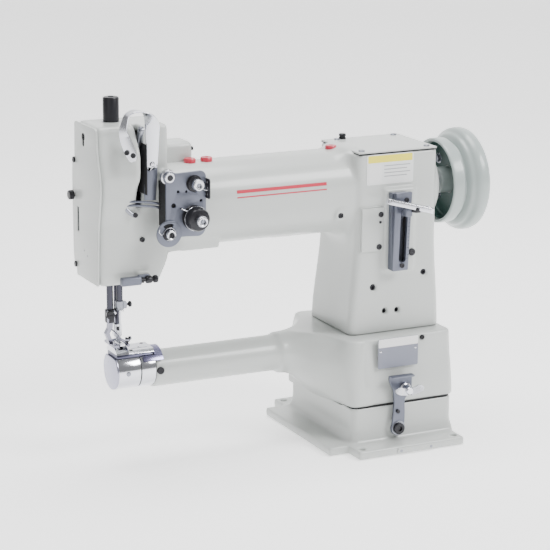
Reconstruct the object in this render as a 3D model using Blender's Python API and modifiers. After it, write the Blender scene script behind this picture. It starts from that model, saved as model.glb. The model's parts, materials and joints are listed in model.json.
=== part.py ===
"""Cylinder-bed walking-foot machine for sewing leather, as a set of separate pieces.

Millimetres are used in the dimensions and turned into metres by MM. X runs along the arm towards the
handwheel, -Y faces the person sewing, +Z is up and the base stands on z = 0. Dimensions are measured from the
middle of the base; SHIFT_X then moves the whole machine so that its bounding box is centred on the origin.
"""
import math

import bmesh
import bpy
from mathutils import Matrix, Vector

MM = 0.001
GAP = 0.3                      # clearance between pieces that touch

# Overall layout
X_MIN, X_MAX = -344.0, 122.0   # tip of the face cover knob, outer face of the handwheel
SHIFT_X = -(X_MIN + X_MAX) / 2
SHAFT_Z = 275.0                # main shaft
BED_Z = 102.0                  # hook shaft, middle of the cylinder bed
NEEDLE_X, NEEDLE_Y = -298.0, -4.0
INNER_BAR_Y = 5.0
PRESSER_X, REGULATOR_X = -307.5, -303.0
PLATE_Z = 131.0                # crown of the needle plate
GROUND_Z = 126.5               # its flat ground part

# Base
FLANGE_X, FLANGE_Y, FLANGE_T = 65.0, 106.0, 9.4
SHELF_X, SHELF_Y = -88.0, 80.0
BOLT_X, BOLT_Y, BOLT_R = 57.0, 96.0, 3.75
BODY_X0, BODY_X1 = -58.0, 66.0
SPLIT_Z = 48.0                 # joint between the base and the bed casting
TILT_Y, TILT_Z = 88.0, 50.0    # pin that the head tilts back on

# Bed casting
DECK_Z = 122.0
TUBE_R, TUBE_Z = 19.75, 100.25
SLEEVE_X0, CAP_X0, CAP_X1 = -280.2, -308.0, -281.0
BED_X0 = -263.7
CAP_R, CAP_Z, CAP_FLAT = 20.5, 103.5, 118.5
PLATE_X1 = -264.1

# Column, arm and head
COLUMN_X0, COLUMN_X1, COLUMN_Y = -40.0, 59.5, 45.5
COLUMN_TOP = 320.0
ARM_HY, ARM_HZ, ARM_ZC = 42.0, 44.0, 276.5
HEAD_X0, HEAD_X1 = -331.0, -254.0
HEAD_Y0, HEAD_Y1 = -35.0, 25.0
HEAD_Z0, HEAD_Z1 = 204.0, 369.0
FACE_X = -334.0
DRUM_Y, DRUM_Z = -19.0, 322.0  # pivot of the take-up lever
BOSS_X0, BOSS_X1, BOSS_X2 = -315.0, -297.0, -284.4

# Tension plate
TENSION_Y = -55.0

for old in list(bpy.data.objects):
    bpy.data.objects.remove(old, do_unlink=True)

parts = bpy.data.collections.new("leather_sewing_machine")
tools = bpy.data.collections.new("cutters")
for made in (parts, tools):
    bpy.context.scene.collection.children.link(made)
origin = bpy.data.objects.new("machine_origin", None)
origin.location = (SHIFT_X * MM, 0, 0)
parts.objects.link(origin)

PALETTE = {
    "paint": ((0.80, 0.81, 0.79), 0.35, 0.0),
    "grey_plate": ((0.36, 0.37, 0.42), 0.38, 0.8),
    "wheel_paint": ((0.62, 0.67, 0.66), 0.4, 0.0),
    "chrome": ((0.75, 0.76, 0.80), 0.15, 1.0),
    "steel": ((0.50, 0.51, 0.54), 0.32, 1.0),
    "black": ((0.025, 0.025, 0.03), 0.35, 0.3),
    "red": ((0.60, 0.03, 0.05), 0.4, 0.0),
    "rubber": ((0.02, 0.02, 0.02), 0.7, 0.0),
    "brass": ((0.55, 0.42, 0.18), 0.35, 1.0),
}


def material(name):
    """The named finish, made once."""
    made = bpy.data.materials.get(name)
    if made:
        return made
    color, roughness, metallic = PALETTE[name]
    made = bpy.data.materials.new(name)
    made.use_nodes = True
    shader = made.node_tree.nodes["Principled BSDF"]
    shader.inputs["Base Color"].default_value = (*color, 1)
    shader.inputs["Roughness"].default_value = roughness
    shader.inputs["Metallic"].default_value = metallic
    return made


def finish(name, mesh, finish_name=None, pivot=(0, 0, 0)):
    """Makes the object of a mesh in millimetres, with its origin at pivot. A cutter has no finish."""
    mesh.transform(Matrix.Translation(-Vector(pivot)))
    mesh.transform(Matrix.Scale(MM, 4))
    made = bpy.data.objects.new(name, mesh)
    (parts if finish_name else tools).objects.link(made)
    made.parent = origin
    made.location = Vector(pivot) * MM
    if finish_name:
        mesh.materials.append(material(finish_name))
        mesh.shade_smooth()
        mesh.set_sharp_from_angle(angle=math.radians(35))
    else:
        made.hide_render = True
        made.display_type = "WIRE"
    return made


def mesh_of(builder):
    """The mesh made by a function that fills a bmesh, with its normals facing out."""
    bm = bmesh.new()
    builder(bm)
    bmesh.ops.recalc_face_normals(bm, faces=bm.faces)
    mesh = bpy.data.meshes.new("mesh")
    bm.to_mesh(mesh)
    bm.free()
    return mesh


def box(name, low, high, finish_name=None, bevel=0.0, steps=2, pivot=(0, 0, 0)):
    low, high = Vector(low), Vector(high)

    def build(bm):
        bmesh.ops.create_cube(bm, size=1)
        bmesh.ops.scale(bm, vec=high - low, verts=bm.verts)
        bmesh.ops.translate(bm, vec=(low + high) / 2, verts=bm.verts)

    made = finish(name, mesh_of(build), finish_name, pivot)
    if bevel:
        add_bevel(made, bevel, steps)
    return made


def add_bevel(thing, width, steps=2, angle=30):
    modifier = thing.modifiers.new("round edges", "BEVEL")
    modifier.width = width * MM
    modifier.segments = steps
    modifier.limit_method = "ANGLE"
    modifier.angle_limit = math.radians(angle)


def cylinder(name, start, end, radius, finish_name=None, sides=24, pivot=(0, 0, 0), radius_end=None):
    """A round bar or a cone between two points."""
    start, end = Vector(start), Vector(end)
    along = end - start

    def build(bm):
        bmesh.ops.create_cone(bm, cap_ends=True, segments=sides, radius1=radius,
                              radius2=radius if radius_end is None else radius_end, depth=along.length)
        turn = along.to_track_quat("Z", "Y").to_matrix()
        bmesh.ops.rotate(bm, cent=(0, 0, 0), matrix=turn, verts=bm.verts)
        bmesh.ops.translate(bm, vec=(start + end) / 2, verts=bm.verts)

    return finish(name, mesh_of(build), finish_name, pivot)


AXIS_TURN = {
    "X": Matrix.Rotation(math.radians(90), 4, "Y"),
    "Y": Matrix.Rotation(math.radians(-90), 4, "X"),
    "Z": Matrix.Identity(4),
}


def turned(name, profile, finish_name, centre, axis="Z", sides=32, pivot=None):
    """A closed profile of (radius, distance along the axis) points, turned round the axis at centre."""
    outline = profile + [profile[0]] if profile[0][0] > 0 else profile
    area = sum(a[0] * b[1] - b[0] * a[1] for a, b in zip(profile, profile[1:] + profile[:1]))
    if area > 0:
        outline = outline[::-1]

    def build(bm):
        ring = [bm.verts.new((r, 0, h)) for r, h in (outline[:-1] if outline[0] == outline[-1] else outline)]
        if outline[0] == outline[-1]:
            ring.append(ring[0])
        for a, b in zip(ring, ring[1:]):
            bm.edges.new((a, b))

    bm = bmesh.new()
    build(bm)
    mesh = bpy.data.meshes.new("profile")
    bm.to_mesh(mesh)
    bm.free()
    made = finish(name, mesh, finish_name)
    screw = made.modifiers.new("turn", "SCREW")
    screw.steps = sides
    screw.render_steps = sides
    screw.use_merge_vertices = True
    screw.merge_threshold = 0.00001
    screw.use_smooth_shade = True
    made.matrix_local = Matrix.Translation(Vector(centre) * MM) @ AXIS_TURN[axis]
    return made


def plate(name, outline, low, high, plane, finish_name=None, pivot=(0, 0, 0), bevel=0.0):
    """A flat sheet: an outline in the XY, XZ or YZ plane, made solid from low to high across it."""
    place = {"XY": lambda u, v, w: (u, v, w), "XZ": lambda u, v, w: (u, w, v), "YZ": lambda u, v, w: (w, u, v)}

    def build(bm):
        ring = [bm.verts.new(place[plane](u, v, low)) for u, v in outline]
        face = bm.faces.new(ring)
        side = bmesh.ops.extrude_face_region(bm, geom=[face])
        moved = [g for g in side["geom"] if isinstance(g, bmesh.types.BMVert)]
        shift = Vector(place[plane](0, 0, high)) - Vector(place[plane](0, 0, low))
        bmesh.ops.translate(bm, vec=shift, verts=moved)

    made = finish(name, mesh_of(build), finish_name, pivot)
    if bevel:
        add_bevel(made, bevel, 1, 50)
    return made


def loft(name, sections, finish_name=None, pivot=(0, 0, 0)):
    """A closed skin through rings of points that have the same count."""

    def build(bm):
        rings = [[bm.verts.new(p) for p in section] for section in sections]
        for a, b in zip(rings, rings[1:]):
            for i in range(len(a)):
                j = (i + 1) % len(a)
                bm.faces.new((a[i], a[j], b[j], b[i]))
        bm.faces.new(rings[0][::-1])
        bm.faces.new(rings[-1])

    return finish(name, mesh_of(build), finish_name, pivot)


def arc(cx, cy, radius, start, end, steps):
    """Points along an arc, angles in degrees."""
    angles = [math.radians(start + (end - start) * i / steps) for i in range(steps + 1)]
    return [(cx + radius * math.cos(a), cy + radius * math.sin(a)) for a in angles]


def round_rect(x0, x1, y0, y1, radius, steps=4):
    corners = ((x1 - radius, y1 - radius, 0), (x0 + radius, y1 - radius, 90),
               (x0 + radius, y0 + radius, 180), (x1 - radius, y0 + radius, 270))
    return [p for cx, cy, a in corners for p in arc(cx, cy, radius, a, a + 90, steps)]


def superellipse(half_y, half_z, centre_z, power, count=36):
    """Ring of (y, z) points between an ellipse (power 2) and a box (large power)."""
    points = []
    for i in range(count):
        a = 2 * math.pi * i / count
        c, s = math.cos(a), math.sin(a)
        y = math.copysign(abs(c) ** (2 / power), c) * half_y
        z = math.copysign(abs(s) ** (2 / power), s) * half_z
        points.append((y, centre_z + z))
    return points


def joined(body, *others, operation="UNION"):
    """Adds or cuts other shapes, which become cutters."""
    for other in others:
        modifier = body.modifiers.new(operation.lower(), "BOOLEAN")
        modifier.operation = operation
        modifier.object = other
    return body


def cut(body, *others):
    return joined(body, *others, operation="DIFFERENCE")


def baked(thing):
    """The object with its modifiers applied, so that later modifiers see one mesh."""
    bpy.context.view_layer.update()
    evaluated = thing.evaluated_get(bpy.context.evaluated_depsgraph_get())
    mesh = bpy.data.meshes.new_from_object(evaluated)
    thing.modifiers.clear()
    thing.data = mesh
    return thing


# ---------------------------------------------------------------- base


def make_base():
    flange = plate("base_pedestal",
                   [(-FLANGE_X, -FLANGE_Y), (FLANGE_X, -FLANGE_Y), (FLANGE_X, FLANGE_Y), (-FLANGE_X, FLANGE_Y),
                    (-FLANGE_X, SHELF_Y), (SHELF_X, SHELF_Y), (SHELF_X, -SHELF_Y), (-FLANGE_X, -SHELF_Y)],
                   0, FLANGE_T, "XY", "paint", bevel=0.8)
    walls = loft("base_walls", [
        [(x, y, z) for x, y in round_rect(BODY_X0 - d, BODY_X1 + d, -76.5 - 1.6 * d, 76.5 + 1.6 * d, 10)]
        for z, d in ((5.0, 2.0), (FLANGE_T + 2, 1.0), (SPLIT_Z - GAP, 0.0))])
    lugs = []
    for i, x in enumerate((-47.0, 55.0)):
        lugs.append(box(f"lug_foot_{i}", (x - 5, 70, 32), (x + 5, TILT_Y + 8, SPLIT_Z - 0.8)))
        lugs.append(box(f"lug_ear_{i}", (x - 4.9, TILT_Y - 8.4, 44), (x + 4.9, TILT_Y + 7.9, TILT_Z + 8)))
    boss = cylinder("latch_boss", (-6, -74, 22.5), (-6, -80.6, 22.5), 8.0)
    joined(flange, walls, boss, *lugs)
    holes = [box("base_cavity", (BODY_X0 + 13, -62, -5), (BODY_X1 - 13, 62, 60), bevel=6)]
    for i, (sx, sy) in enumerate(((-1, -1), (1, -1), (1, 1), (-1, 1))):
        at = (sx * BOLT_X, sy * BOLT_Y)
        holes.append(cylinder(f"bolt_hole_{i}", (*at, -5), (*at, 20), BOLT_R, sides=16))
    holes.append(cylinder("hinge_hole", (-60, TILT_Y, TILT_Z), (70, TILT_Y, TILT_Z), 3.4, sides=16))
    holes.append(cylinder("pivot_hole", (-6, -90, 22.5), (-6, -50, 22.5), 4.1, sides=16))
    cut(flange, *holes)


def make_base_fittings():
    turned("tilt_hinge_pin", [(0, -54), (5, -54), (5, -52.5), (3, -52.5), (3, 62), (0, 62)], "steel",
           (0, TILT_Y, TILT_Z), "X", 16)
    turned("latch_pivot_screw", [(0, -66), (3.8, -66), (3.8, -84.4), (6.4, -84.4), (6.4, -87.2), (5.6, -87.8),
                                 (3, -87.8), (3, -86), (0, -86)], "black", (-6, 0, 22.5), "Y", 16)
    plate("front_edge_plate", round_rect(-19, 27, 1.3, 7.9, 3.2, 5), -FLANGE_Y - 1.3, -FLANGE_Y - GAP, "XZ",
          "paint")


# ---------------------------------------------------------------- latch

LATCH_FRONT, LATCH_BACK = -84.1, -81.0
WING_X, WING_Z = 1.0, 67.0


def make_latch():
    pivot = (-6, 0, 22.5)
    outline = (arc(-6, 22.5, 8.6, 158, 382, 12) + [(2.2, 36), (1.6, 54), (9.5, 60), (10.0, 76), (10.0, 83)]
               + [(-18, 83), (-18, 78), (-12.2, 66), (-11.4, 50), (-12.6, 36)])
    arm = plate("latch_arm", outline, LATCH_BACK, LATCH_FRONT, "XZ", "grey_plate", pivot)
    lip = box("latch_lip", (-17.9, LATCH_FRONT - 7, 80.2), (9.9, LATCH_BACK - 0.1, 82.9))
    joined(arm, lip)
    cut(arm, cylinder("arm_eye", (-6, -95, 22.5), (-6, -70, 22.5), 4.1, sides=16),
        cylinder("arm_bolt_hole", (WING_X, -95, WING_Z), (WING_X, -70, WING_Z), 3.6, sides=16))


def make_wing_bolt():
    pivot = (WING_X, 0, WING_Z)
    bolt = turned("wing_bolt", [(0, -77.5), (2.2, -77.5), (3.2, -78.5), (3.2, -84.4), (6.6, -84.4), (6.6, -86.2),
                                (5.2, -87), (4.6, -97), (0, -97)], "chrome", pivot, "Y", 20)
    baked(bolt)
    wings = []
    for side in (-1, 1):
        wings.append(plate(f"wing_{side + 1}",
                           [(WING_X + side * u, WING_Z + v)
                            for u, v in ((2.5, -4.2), (13, -3.6), (16, -1.5), (16, 2.6), (12, 4.2), (2.5, 4.2))],
                           -96.6, -93.4, "XZ"))
    joined(bolt, *wings)


# ---------------------------------------------------------------- bed

BELT_X0, BELT_X1 = 13.0, 25.0


def make_bed_casting():
    shape = [(BED_X0, TUBE_R, 2.0, TUBE_Z - TUBE_R, TUBE_Z + TUBE_R),
             (-125.0, TUBE_R + 0.4, 2.0, TUBE_Z - TUBE_R - 0.3, TUBE_Z + TUBE_R + 0.5),
             (-108.0, 21.8, 2.1, 78.4, 122.4), (-94.0, 27.0, 2.4, 75.0, 124.0), (-82.0, 36.0, 2.9, 68.0, 124.6),
             (-71.0, 51.0, 3.8, 58.0, 124.4), (-62.0, 66.0, 5.5, 48.0, 123.2), (-56.0, 73.0, 9.0, 42.0, DECK_Z),
             (-50.0, 74.5, 14.0, 38.0, DECK_Z), (60.0, 74.5, 14.0, 38.0, DECK_Z), (65.0, 73.0, 11.0, 38.5, 121.0),
             (67.5, 70.0, 8.0, 41.0, 118.0)]
    sections = []
    for x, half_y, power, z0, z1 in shape:
        ring = superellipse(half_y, (z1 - z0) / 2, (z0 + z1) / 2, power, 40)
        draft = 0.035 * min(1.0, max(0.0, (power - 2) / 6))
        sections.append([(x, y * (1 + draft * (BED_Z - 20 - z) / 40), z) for y, z in ring])
    bed = loft("bed_casting", sections, "paint")
    web = box("hinge_web", (-38, 66, SPLIT_Z + GAP), (46, TILT_Y - 2, TILT_Z + 7))
    barrel = cylinder("hinge_barrel", (-38, TILT_Y, TILT_Z), (46, TILT_Y, TILT_Z), 7.5, sides=20)
    under = box("below_split", (-130, -120, 0), (120, 79.9, SPLIT_Z + GAP))
    cavity = box("bed_cavity", (-47, -63, 30), (56, 63, 112), bevel=8)
    deck = box("deck_opening", (-30, -37, 100), (47, 37, 140))
    bore = cylinder("bed_bore", (-300, 0, BED_Z), (0, 0, BED_Z), 15.5, sides=28)
    pin = cylinder("barrel_hole", (-60, TILT_Y, TILT_Z), (70, TILT_Y, TILT_Z), 3.4, sides=16)
    seat = cylinder("bolt_seat", (WING_X, -60, WING_Z), (WING_X, -90, WING_Z), 3.6, sides=16)
    cut(bed, under)
    joined(bed, web, barrel)
    cut(bed, cavity, deck, bore, pin, seat)


def make_bed_end():
    """The chromed cup over the hook, its sleeve, the needle plate and the slide plate."""
    half = math.degrees(math.asin((CAP_FLAT - CAP_Z) / CAP_R))
    shape = arc(0, CAP_Z, CAP_R, 180 - half, 360 + half, 30)
    cap = plate("hook_cap", shape, CAP_X0, CAP_X1, "YZ", "chrome", bevel=0.8)
    cut(cap, cylinder("cap_cavity", (CAP_X0 + 2.5, 0, CAP_Z), (-260, 0, CAP_Z), CAP_R - 2.2, sides=32),
        box("cap_mouth", (CAP_X0 + 2.5, -10.5, 104), (-260, 10.5, 130)))
    sleeve = plate("bed_sleeve", shape, SLEEVE_X0, BED_X0 - GAP, "YZ", "steel")
    cut(sleeve, cylinder("sleeve_bore", (-290, 0, BED_Z), (-240, 0, BED_Z), 16.4, sides=28),
        box("sleeve_mouth", (-290, -8, 110), (-240, 8, 130)))
    half_plate, crown = 15.3, 19.1
    lean = math.degrees(math.asin((half_plate - 0.1) / crown))
    top = arc(0, PLATE_Z - crown, crown, 90 + lean, 90 - lean, 14)
    under = [(half_plate, 122.4), (14.4, CAP_FLAT + GAP), (-14.4, CAP_FLAT + GAP), (-half_plate, 122.4)]
    needle_plate = plate("needle_plate", top + under, -306.5, PLATE_X1, "YZ", "chrome")
    cut(needle_plate,
        box("ground_face", (-292.5, -30, GROUND_Z), (-250, 30, 140)),
        box("feed_slot", (NEEDLE_X - 4.6, -10.4, 100), (NEEDLE_X + 4.6, 10.0, 140)),
        box("plate_mouth", (CAP_X0 + 4.6, -9, 110), (-270, 9, 123.2)))
    outer, inner = CAP_R + 1.9, CAP_R + 0.4
    slide = plate("slide_plate", arc(0, CAP_Z, outer, 30, 150, 24) + arc(0, CAP_Z, inner, 150, 30, 24),
                  -277.5, -255.0, "YZ", "grey_plate")
    cut(slide, box("slide_notch", (-290, -15.7, 100), (PLATE_X1 + GAP, 15.7, 140)))
    box("feed_dog", (NEEDLE_X - 4.0, -7.8, 119.2), (NEEDLE_X + 4.0, 7.4, PLATE_Z - 1.8), "steel")
    cut(bpy.data.objects["feed_dog"],
        box("feed_needle_slot", (NEEDLE_X - 1.6, NEEDLE_Y - 4.8, 100), (NEEDLE_X + 1.6, NEEDLE_Y + 4.8, 140)))


def make_hook_shaft():
    centre = (0, 0, BED_Z)
    turned("hook_shaft", [(0, -281), (5, -281), (5, 34), (0, 34)], "steel", centre, "X", 16)
    hook_centre = (-2, 0, BED_Z)
    hook = turned("rotary_hook", [(5.3, -280), (5.3, -277), (15.5, -277), (15.5, -293.5), (13.4, -293.5),
                                  (13.4, -280)], "steel", hook_centre, "X", 32)
    baked(hook)
    cut(hook, box("hook_gap", (-298, -3.5, BED_Z + 9), (-289, 16.5, BED_Z + 20)))
    turned("lower_sprocket", [(5.3, BELT_X0), (17, BELT_X0), (17, BELT_X0 + 1.2), (15.6, BELT_X0 + 1.2),
                              (15.6, BELT_X1 - 1.2), (17, BELT_X1 - 1.2), (17, BELT_X1), (5.3, BELT_X1)],
           "steel", centre, "X", 28)
    turned("bobbin_case", [(0, -294.6), (12.9, -294.6), (12.9, -281), (11.7, -281), (11.7, -293.4), (0, -293.4)],
           "chrome", hook_centre, "X", 28)
    turned("bobbin", [(2.6, -282), (11.2, -282), (11.2, -283), (3.6, -283), (3.6, -292), (11.2, -292),
                      (11.2, -293), (2.6, -293)], "brass", hook_centre, "X", 24)


# ---------------------------------------------------------------- arm


def arm_ring(x, grow=0.0):
    return [(x, y, z) for y, z in superellipse(ARM_HY + grow, ARM_HZ + grow, ARM_ZC, 2.5, 32)]


def make_arm_casting():
    column = loft("arm_casting", [
        [(x, y, z) for x, y in round_rect(x0, x1, -hy, hy, 12)]
        for z, x0, x1, hy in ((DECK_Z + GAP, -48.0, 63.0, 50.0), (150.0, -45.0, 61.8, 47.8),
                              (230.0, COLUMN_X0, 60.0, COLUMN_Y), (COLUMN_TOP - 4, COLUMN_X0, COLUMN_X1, COLUMN_Y),
                              (COLUMN_TOP, COLUMN_X0 + 2.5, COLUMN_X1 - 2.5, COLUMN_Y - 2.5))], "paint")
    barrel = loft("arm_barrel", [arm_ring(x) for x in (-262.0, -60.0)] + [arm_ring(-30.0, -1.0)])
    head = box("head_shell", (HEAD_X0, HEAD_Y0, HEAD_Z0), (HEAD_X1, HEAD_Y1, HEAD_Z1), bevel=4)
    joined(column, barrel, baked(head))
    bulge = box("rear_bulge", (HEAD_X0 + 0.1, 15, 215), (-266, 32, 329), bevel=4)
    under = box("under_arm", (-256.2, -30, 229.5), (-196, 22, 262), bevel=3)
    rim = [(-20, 296), (-36, 297), (-43, 300), (-48, 306), (-51, 315), (-53, 328), (-53, 343), (-50.5, 354),
           (-45, 361), (-36, 365.5), (-20, 366)]
    drum = loft("take_up_boss", [
        [(BOSS_X0, -30 + (y + 30) * 0.5, 322 + (z - 322) * 0.75) for y, z in rim],
        [(BOSS_X1, y, z) for y, z in rim], [(BOSS_X2, y, z) for y, z in rim]])
    posts = [cylinder(f"plate_post_{i}", (x, -30, z), (x, TENSION_Y + GAP, z), 5.0, sides=16)
             for i, (x, z) in enumerate(((-262.0, 317.0), (-232.0, 258.0)))]
    pad = box("regulator_pad", (-9, -50, 190), (30, -40, 282), bevel=1.5)
    shelf = box("guide_shelf", (-292, -40, 207), (-279, -30, 219), bevel=1)
    joined(column, baked(bulge), baked(under), drum, *posts, baked(pad), baked(shelf))
    holes = [
        plate("head_chamfer", [(-240, 195), (-240, 232), (-254.2, 232), (-267, 203.9), (-267, 195)], -60, 60, "XZ"),
        box("head_cavity", (HEAD_X0 - 5, -29.5, 211), (-261, 19.5, 361)),
        box("bar_opening", (-314, -12.5, 195), (-289.5, 12.5, 220)),
        cylinder("arm_bore", (-261.6, 0, SHAFT_Z), (44, 0, SHAFT_Z), 34.5, sides=36),
        box("column_cavity", (-31, -38, 110), (47, 38, 313)),
        box("top_opening", (-24, -31, 300), (44, 31, 340)),
        cylinder("bearing_hole", (40, 0, SHAFT_Z), (70, 0, SHAFT_Z), 14.3, sides=28),
        cylinder("regulator_hole", (REGULATOR_X, 0, 340), (REGULATOR_X, 0, 380), 5.4, sides=20),
        box("take_up_slot", (-291.8, -60, 284), (-284.3, -20, 375)),
        box("take_up_roof", (-291.8, -36.5, 355), (-284.3, -20, 385)),
        box("lever_slot", (1.5, -60, 202), (14.5, -30, 263)),
    ]
    for i, (x, z) in enumerate(((-20, 173.5), (-6, 146), (9.5, 145.5), (43, 184.5))):
        holes.append(cylinder(f"access_hole_{i}", (x, -60, z), (x, -30, z), 3.2, sides=12))
    cut(column, *holes)


def make_head_covers():
    outline = [(-34.5, 205.5), (25.5, 205.5), (25.5, 213), (33, 218), (34.5, 270), (33, 325), (25.5, 331),
               (25.5, 367), (24, 368.5), (-33.5, 368.5), (-35.5, 366), (-39, 335), (-44.5, 308), (-41.5, 289),
               (-36.5, 262)]
    cover = plate("face_cover", outline, FACE_X, HEAD_X0 - GAP, "YZ", "paint")
    cut(cover, cylinder("keyhole", (FACE_X - 5, -1, 355), (FACE_X + 5, -1, 355), 3.6, sides=16),
        box("keyhole_slot", (FACE_X - 5, -2.6, 345), (FACE_X + 5, 0.6, 355)),
        box("sight_window", (FACE_X - 5, 15.5, 253), (FACE_X + 5, 22, 280)))
    turned("face_cover_knob", [(0, X_MIN), (5, X_MIN), (5, FACE_X - 2), (2.6, FACE_X - 2),
                               (2.6, FACE_X - GAP), (0, FACE_X - GAP)], "black", (0, 29, 290), "X", 16)
    box("top_cover", (COLUMN_X0 + 2, -COLUMN_Y + 1, COLUMN_TOP + GAP), (COLUMN_X1 - 1.5, COLUMN_Y - 1,
                                                                        COLUMN_TOP + 3.0), "paint", 0.6, 1)
    linkage = box("linkage_cover", (-252, 3, 285), (-210, 34, 341), "paint", bevel=5)
    baked(linkage)
    cut(linkage, loft("barrel_clearance", [arm_ring(x, 0.45) for x in (-300.0, -150.0)]))
    box("side_cover_plate", (-34, -COLUMN_Y - 3.0, 213), (-9.4, -COLUMN_Y - 0.6, 263), "paint", 0.8, 1)
    plate("name_plate", round_rect(-28, 21, 91.5, 124.5, 2, 3)[::-1], -75.6, -74.9, "XZ", "grey_plate")


def make_caps():
    for i, x in enumerate((-217.5, -198.5, -49.0)):
        turned(f"oil_cap_{i + 1}", [(0, 4.6), (5.6, 4.6), (6.4, 3.6), (6.4, GAP), (0, GAP)], "red",
               (x, 0 if i == 2 else -4.5, ARM_ZC + ARM_HZ + (0.6 if i == 2 else 0)), "Z", 20)
    turned("vent_cap", [(0, 8), (3.6, 8), (4, 7), (4, GAP), (0, GAP)], "black",
           (-15, 38, COLUMN_TOP + 3), "Z", 16)


def make_main_shaft():
    centre = (0, 0, SHAFT_Z)
    turned("main_shaft", [(0, -281), (18, -281), (18, -272), (7, -272), (7, 114), (0, 114)], "steel", centre,
           "X", 24)
    turned("upper_sprocket", [(7.3, BELT_X0), (33.4, BELT_X0), (33.4, BELT_X0 + 1.2), (32, BELT_X0 + 1.2),
                              (32, BELT_X1 - 1.2), (33.4, BELT_X1 - 1.2), (33.4, BELT_X1), (7.3, BELT_X1)],
           "steel", centre, "X", 36)
    turned("shaft_bush", [(7.2, 48), (7.2, 64), (14, 64), (14, 48)], "brass", centre, "X", 28)
    turned("handwheel", [(7.3, X_MAX - 6), (7.3, 84), (14, 84), (14, 100), (42.5, 100), (43.6, 98), (43.6, 80),
                         (46.6, 80), (47.4, 81.5), (47.4, 93.5), (43.5, 96.5), (43.5, 98.5), (49, 100),
                         (51.5, 103), (53, 104), (56, 107), (57.4, 110), (57.4, 116), (55.5, X_MAX - 2.5),
                         (51, X_MAX), (44, X_MAX), (38, X_MAX - 8), (22, X_MAX - 11), (16, X_MAX - 6)],
           "wheel_paint", centre, "X", 48)


def make_timing_belt():
    """A toothed belt from the upper to the lower sprocket, which has half as many teeth."""
    distance = SHAFT_Z - BED_Z

    def loop(upper, lower):
        lean = math.degrees(math.asin((upper - lower) / distance))
        return (arc(0, SHAFT_Z, upper, -lean, 180 + lean, 24) + arc(0, BED_Z, lower, 180 + lean, 360 - lean, 16))

    outer = plate("timing_belt", loop(34.2, 17.8), BELT_X0 + 1.6, BELT_X1 - 1.6, "YZ", "rubber")
    cut(outer, plate("belt_inside", loop(32.4, 16.0), BELT_X0 - 5, BELT_X1 + 5, "YZ"))


# ---------------------------------------------------------------- needle, feet and take-up


def make_needle_bar():
    pivot = (NEEDLE_X, NEEDLE_Y, 0)
    turned("needle_bar", [(0, 172.3), (3.2, 172.3), (3.2, 318), (0, 318)], "steel", pivot, "Z", 16)
    clamp = turned("needle_clamp", [(3.5, 170), (4.5, 171), (4.5, 179.5), (3.5, 179.5)], "steel", pivot, "Z", 20)
    baked(clamp)
    joined(clamp, box("clamp_ear", (NEEDLE_X + 3.6, NEEDLE_Y - 2.6, 171.5), (NEEDLE_X + 7, NEEDLE_Y + 2.6, 178.5)))
    turned("needle_clamp_screw", [(0, 7.3), (1.4, 7.3), (1.4, 9.6), (3.2, 9.6), (3.2, 12.6), (0, 12.6)], "black",
           (NEEDLE_X, NEEDLE_Y, 175), "X", 14)
    turned("needle", [(0, 134.5), (0.35, 137), (0.8, 141), (0.8, 158), (1.2, 161), (1.2, 172.0), (0, 172.0)],
           "chrome", pivot, "Z", 10)


def make_presser_bar():
    pivot = (PRESSER_X, 0, 0)
    bar = turned("presser_bar", [(0, 160), (3.5, 160), (3.5, 309), (5.7, 309), (5.7, 314), (3.5, 314), (3.5, 344),
                                 (0, 344)], "steel", pivot, "Z", 16)
    baked(bar)
    wide, toe = 5.6, 2.6
    sole = plate("outer_foot", [(PRESSER_X - 2.0, -14), (PRESSER_X + wide - 1, -14), (PRESSER_X + wide - 1, 10),
                                (NEEDLE_X + 4.3, 10), (NEEDLE_X + 4.3, -14), (NEEDLE_X + 4.3 + toe, -14),
                                (NEEDLE_X + 4.3 + toe, 13), (PRESSER_X - 2.0, 13)],
                 PLATE_Z + 0.5, PLATE_Z + 3.5, "XY", "chrome", bevel=0.4)
    leg = loft("foot_leg", [[(PRESSER_X + dx + u, v, z) for u, v in ((-2.2, -3.2), (2.2, -3.2), (2.2, 3.2), (-2.2, 3.2))]
                            for z, dx in ((PLATE_Z + 1, 0.3), (PLATE_Z + 7, -1.5), (PLATE_Z + 14, -4.0),
                                          (PLATE_Z + 19, -1.0), (158, 0.0))])
    block = box("foot_block", (PRESSER_X - 4.6, -4.4, 156.6), (PRESSER_X + 4.2, 4.4, 170.6), bevel=0.8, steps=1)
    joined(sole, leg, baked(block))
    cut(sole, cylinder("foot_bore", (PRESSER_X, 0, 159.6), (PRESSER_X, 0, 180), 3.8, sides=16))
    coil = bpy.data.curves.new("presser_spring", "CURVE")
    coil.dimensions = "3D"
    coil.bevel_depth = 0.65 * MM
    coil.bevel_resolution = 1
    coil.use_fill_caps = True
    turns, steps = 7, 10
    low, high = 315.2, 360.4
    spline = coil.splines.new("POLY")
    spline.points.add(turns * steps)
    for i, point in enumerate(spline.points):
        a = 2 * math.pi * i / steps
        z = low + (high - low) * i / (turns * steps)
        point.co = (5.2 * MM * math.cos(a), 5.2 * MM * math.sin(a), z * MM, 1)
    spring = bpy.data.objects.new("presser_spring", coil)
    coil.materials.append(material("steel"))
    parts.objects.link(spring)
    spring.parent = origin
    spring.location = Vector(pivot) * MM
    turned("pressure_regulator", [(0, 361.5), (4.9, 361.5), (4.9, HEAD_Z1 + 0.5), (8.4, HEAD_Z1 + 0.5),
                                  (8.4, 394), (7.4, 395), (0, 395)], "black",
           (REGULATOR_X, 0, 0), "Z", 24)


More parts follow.
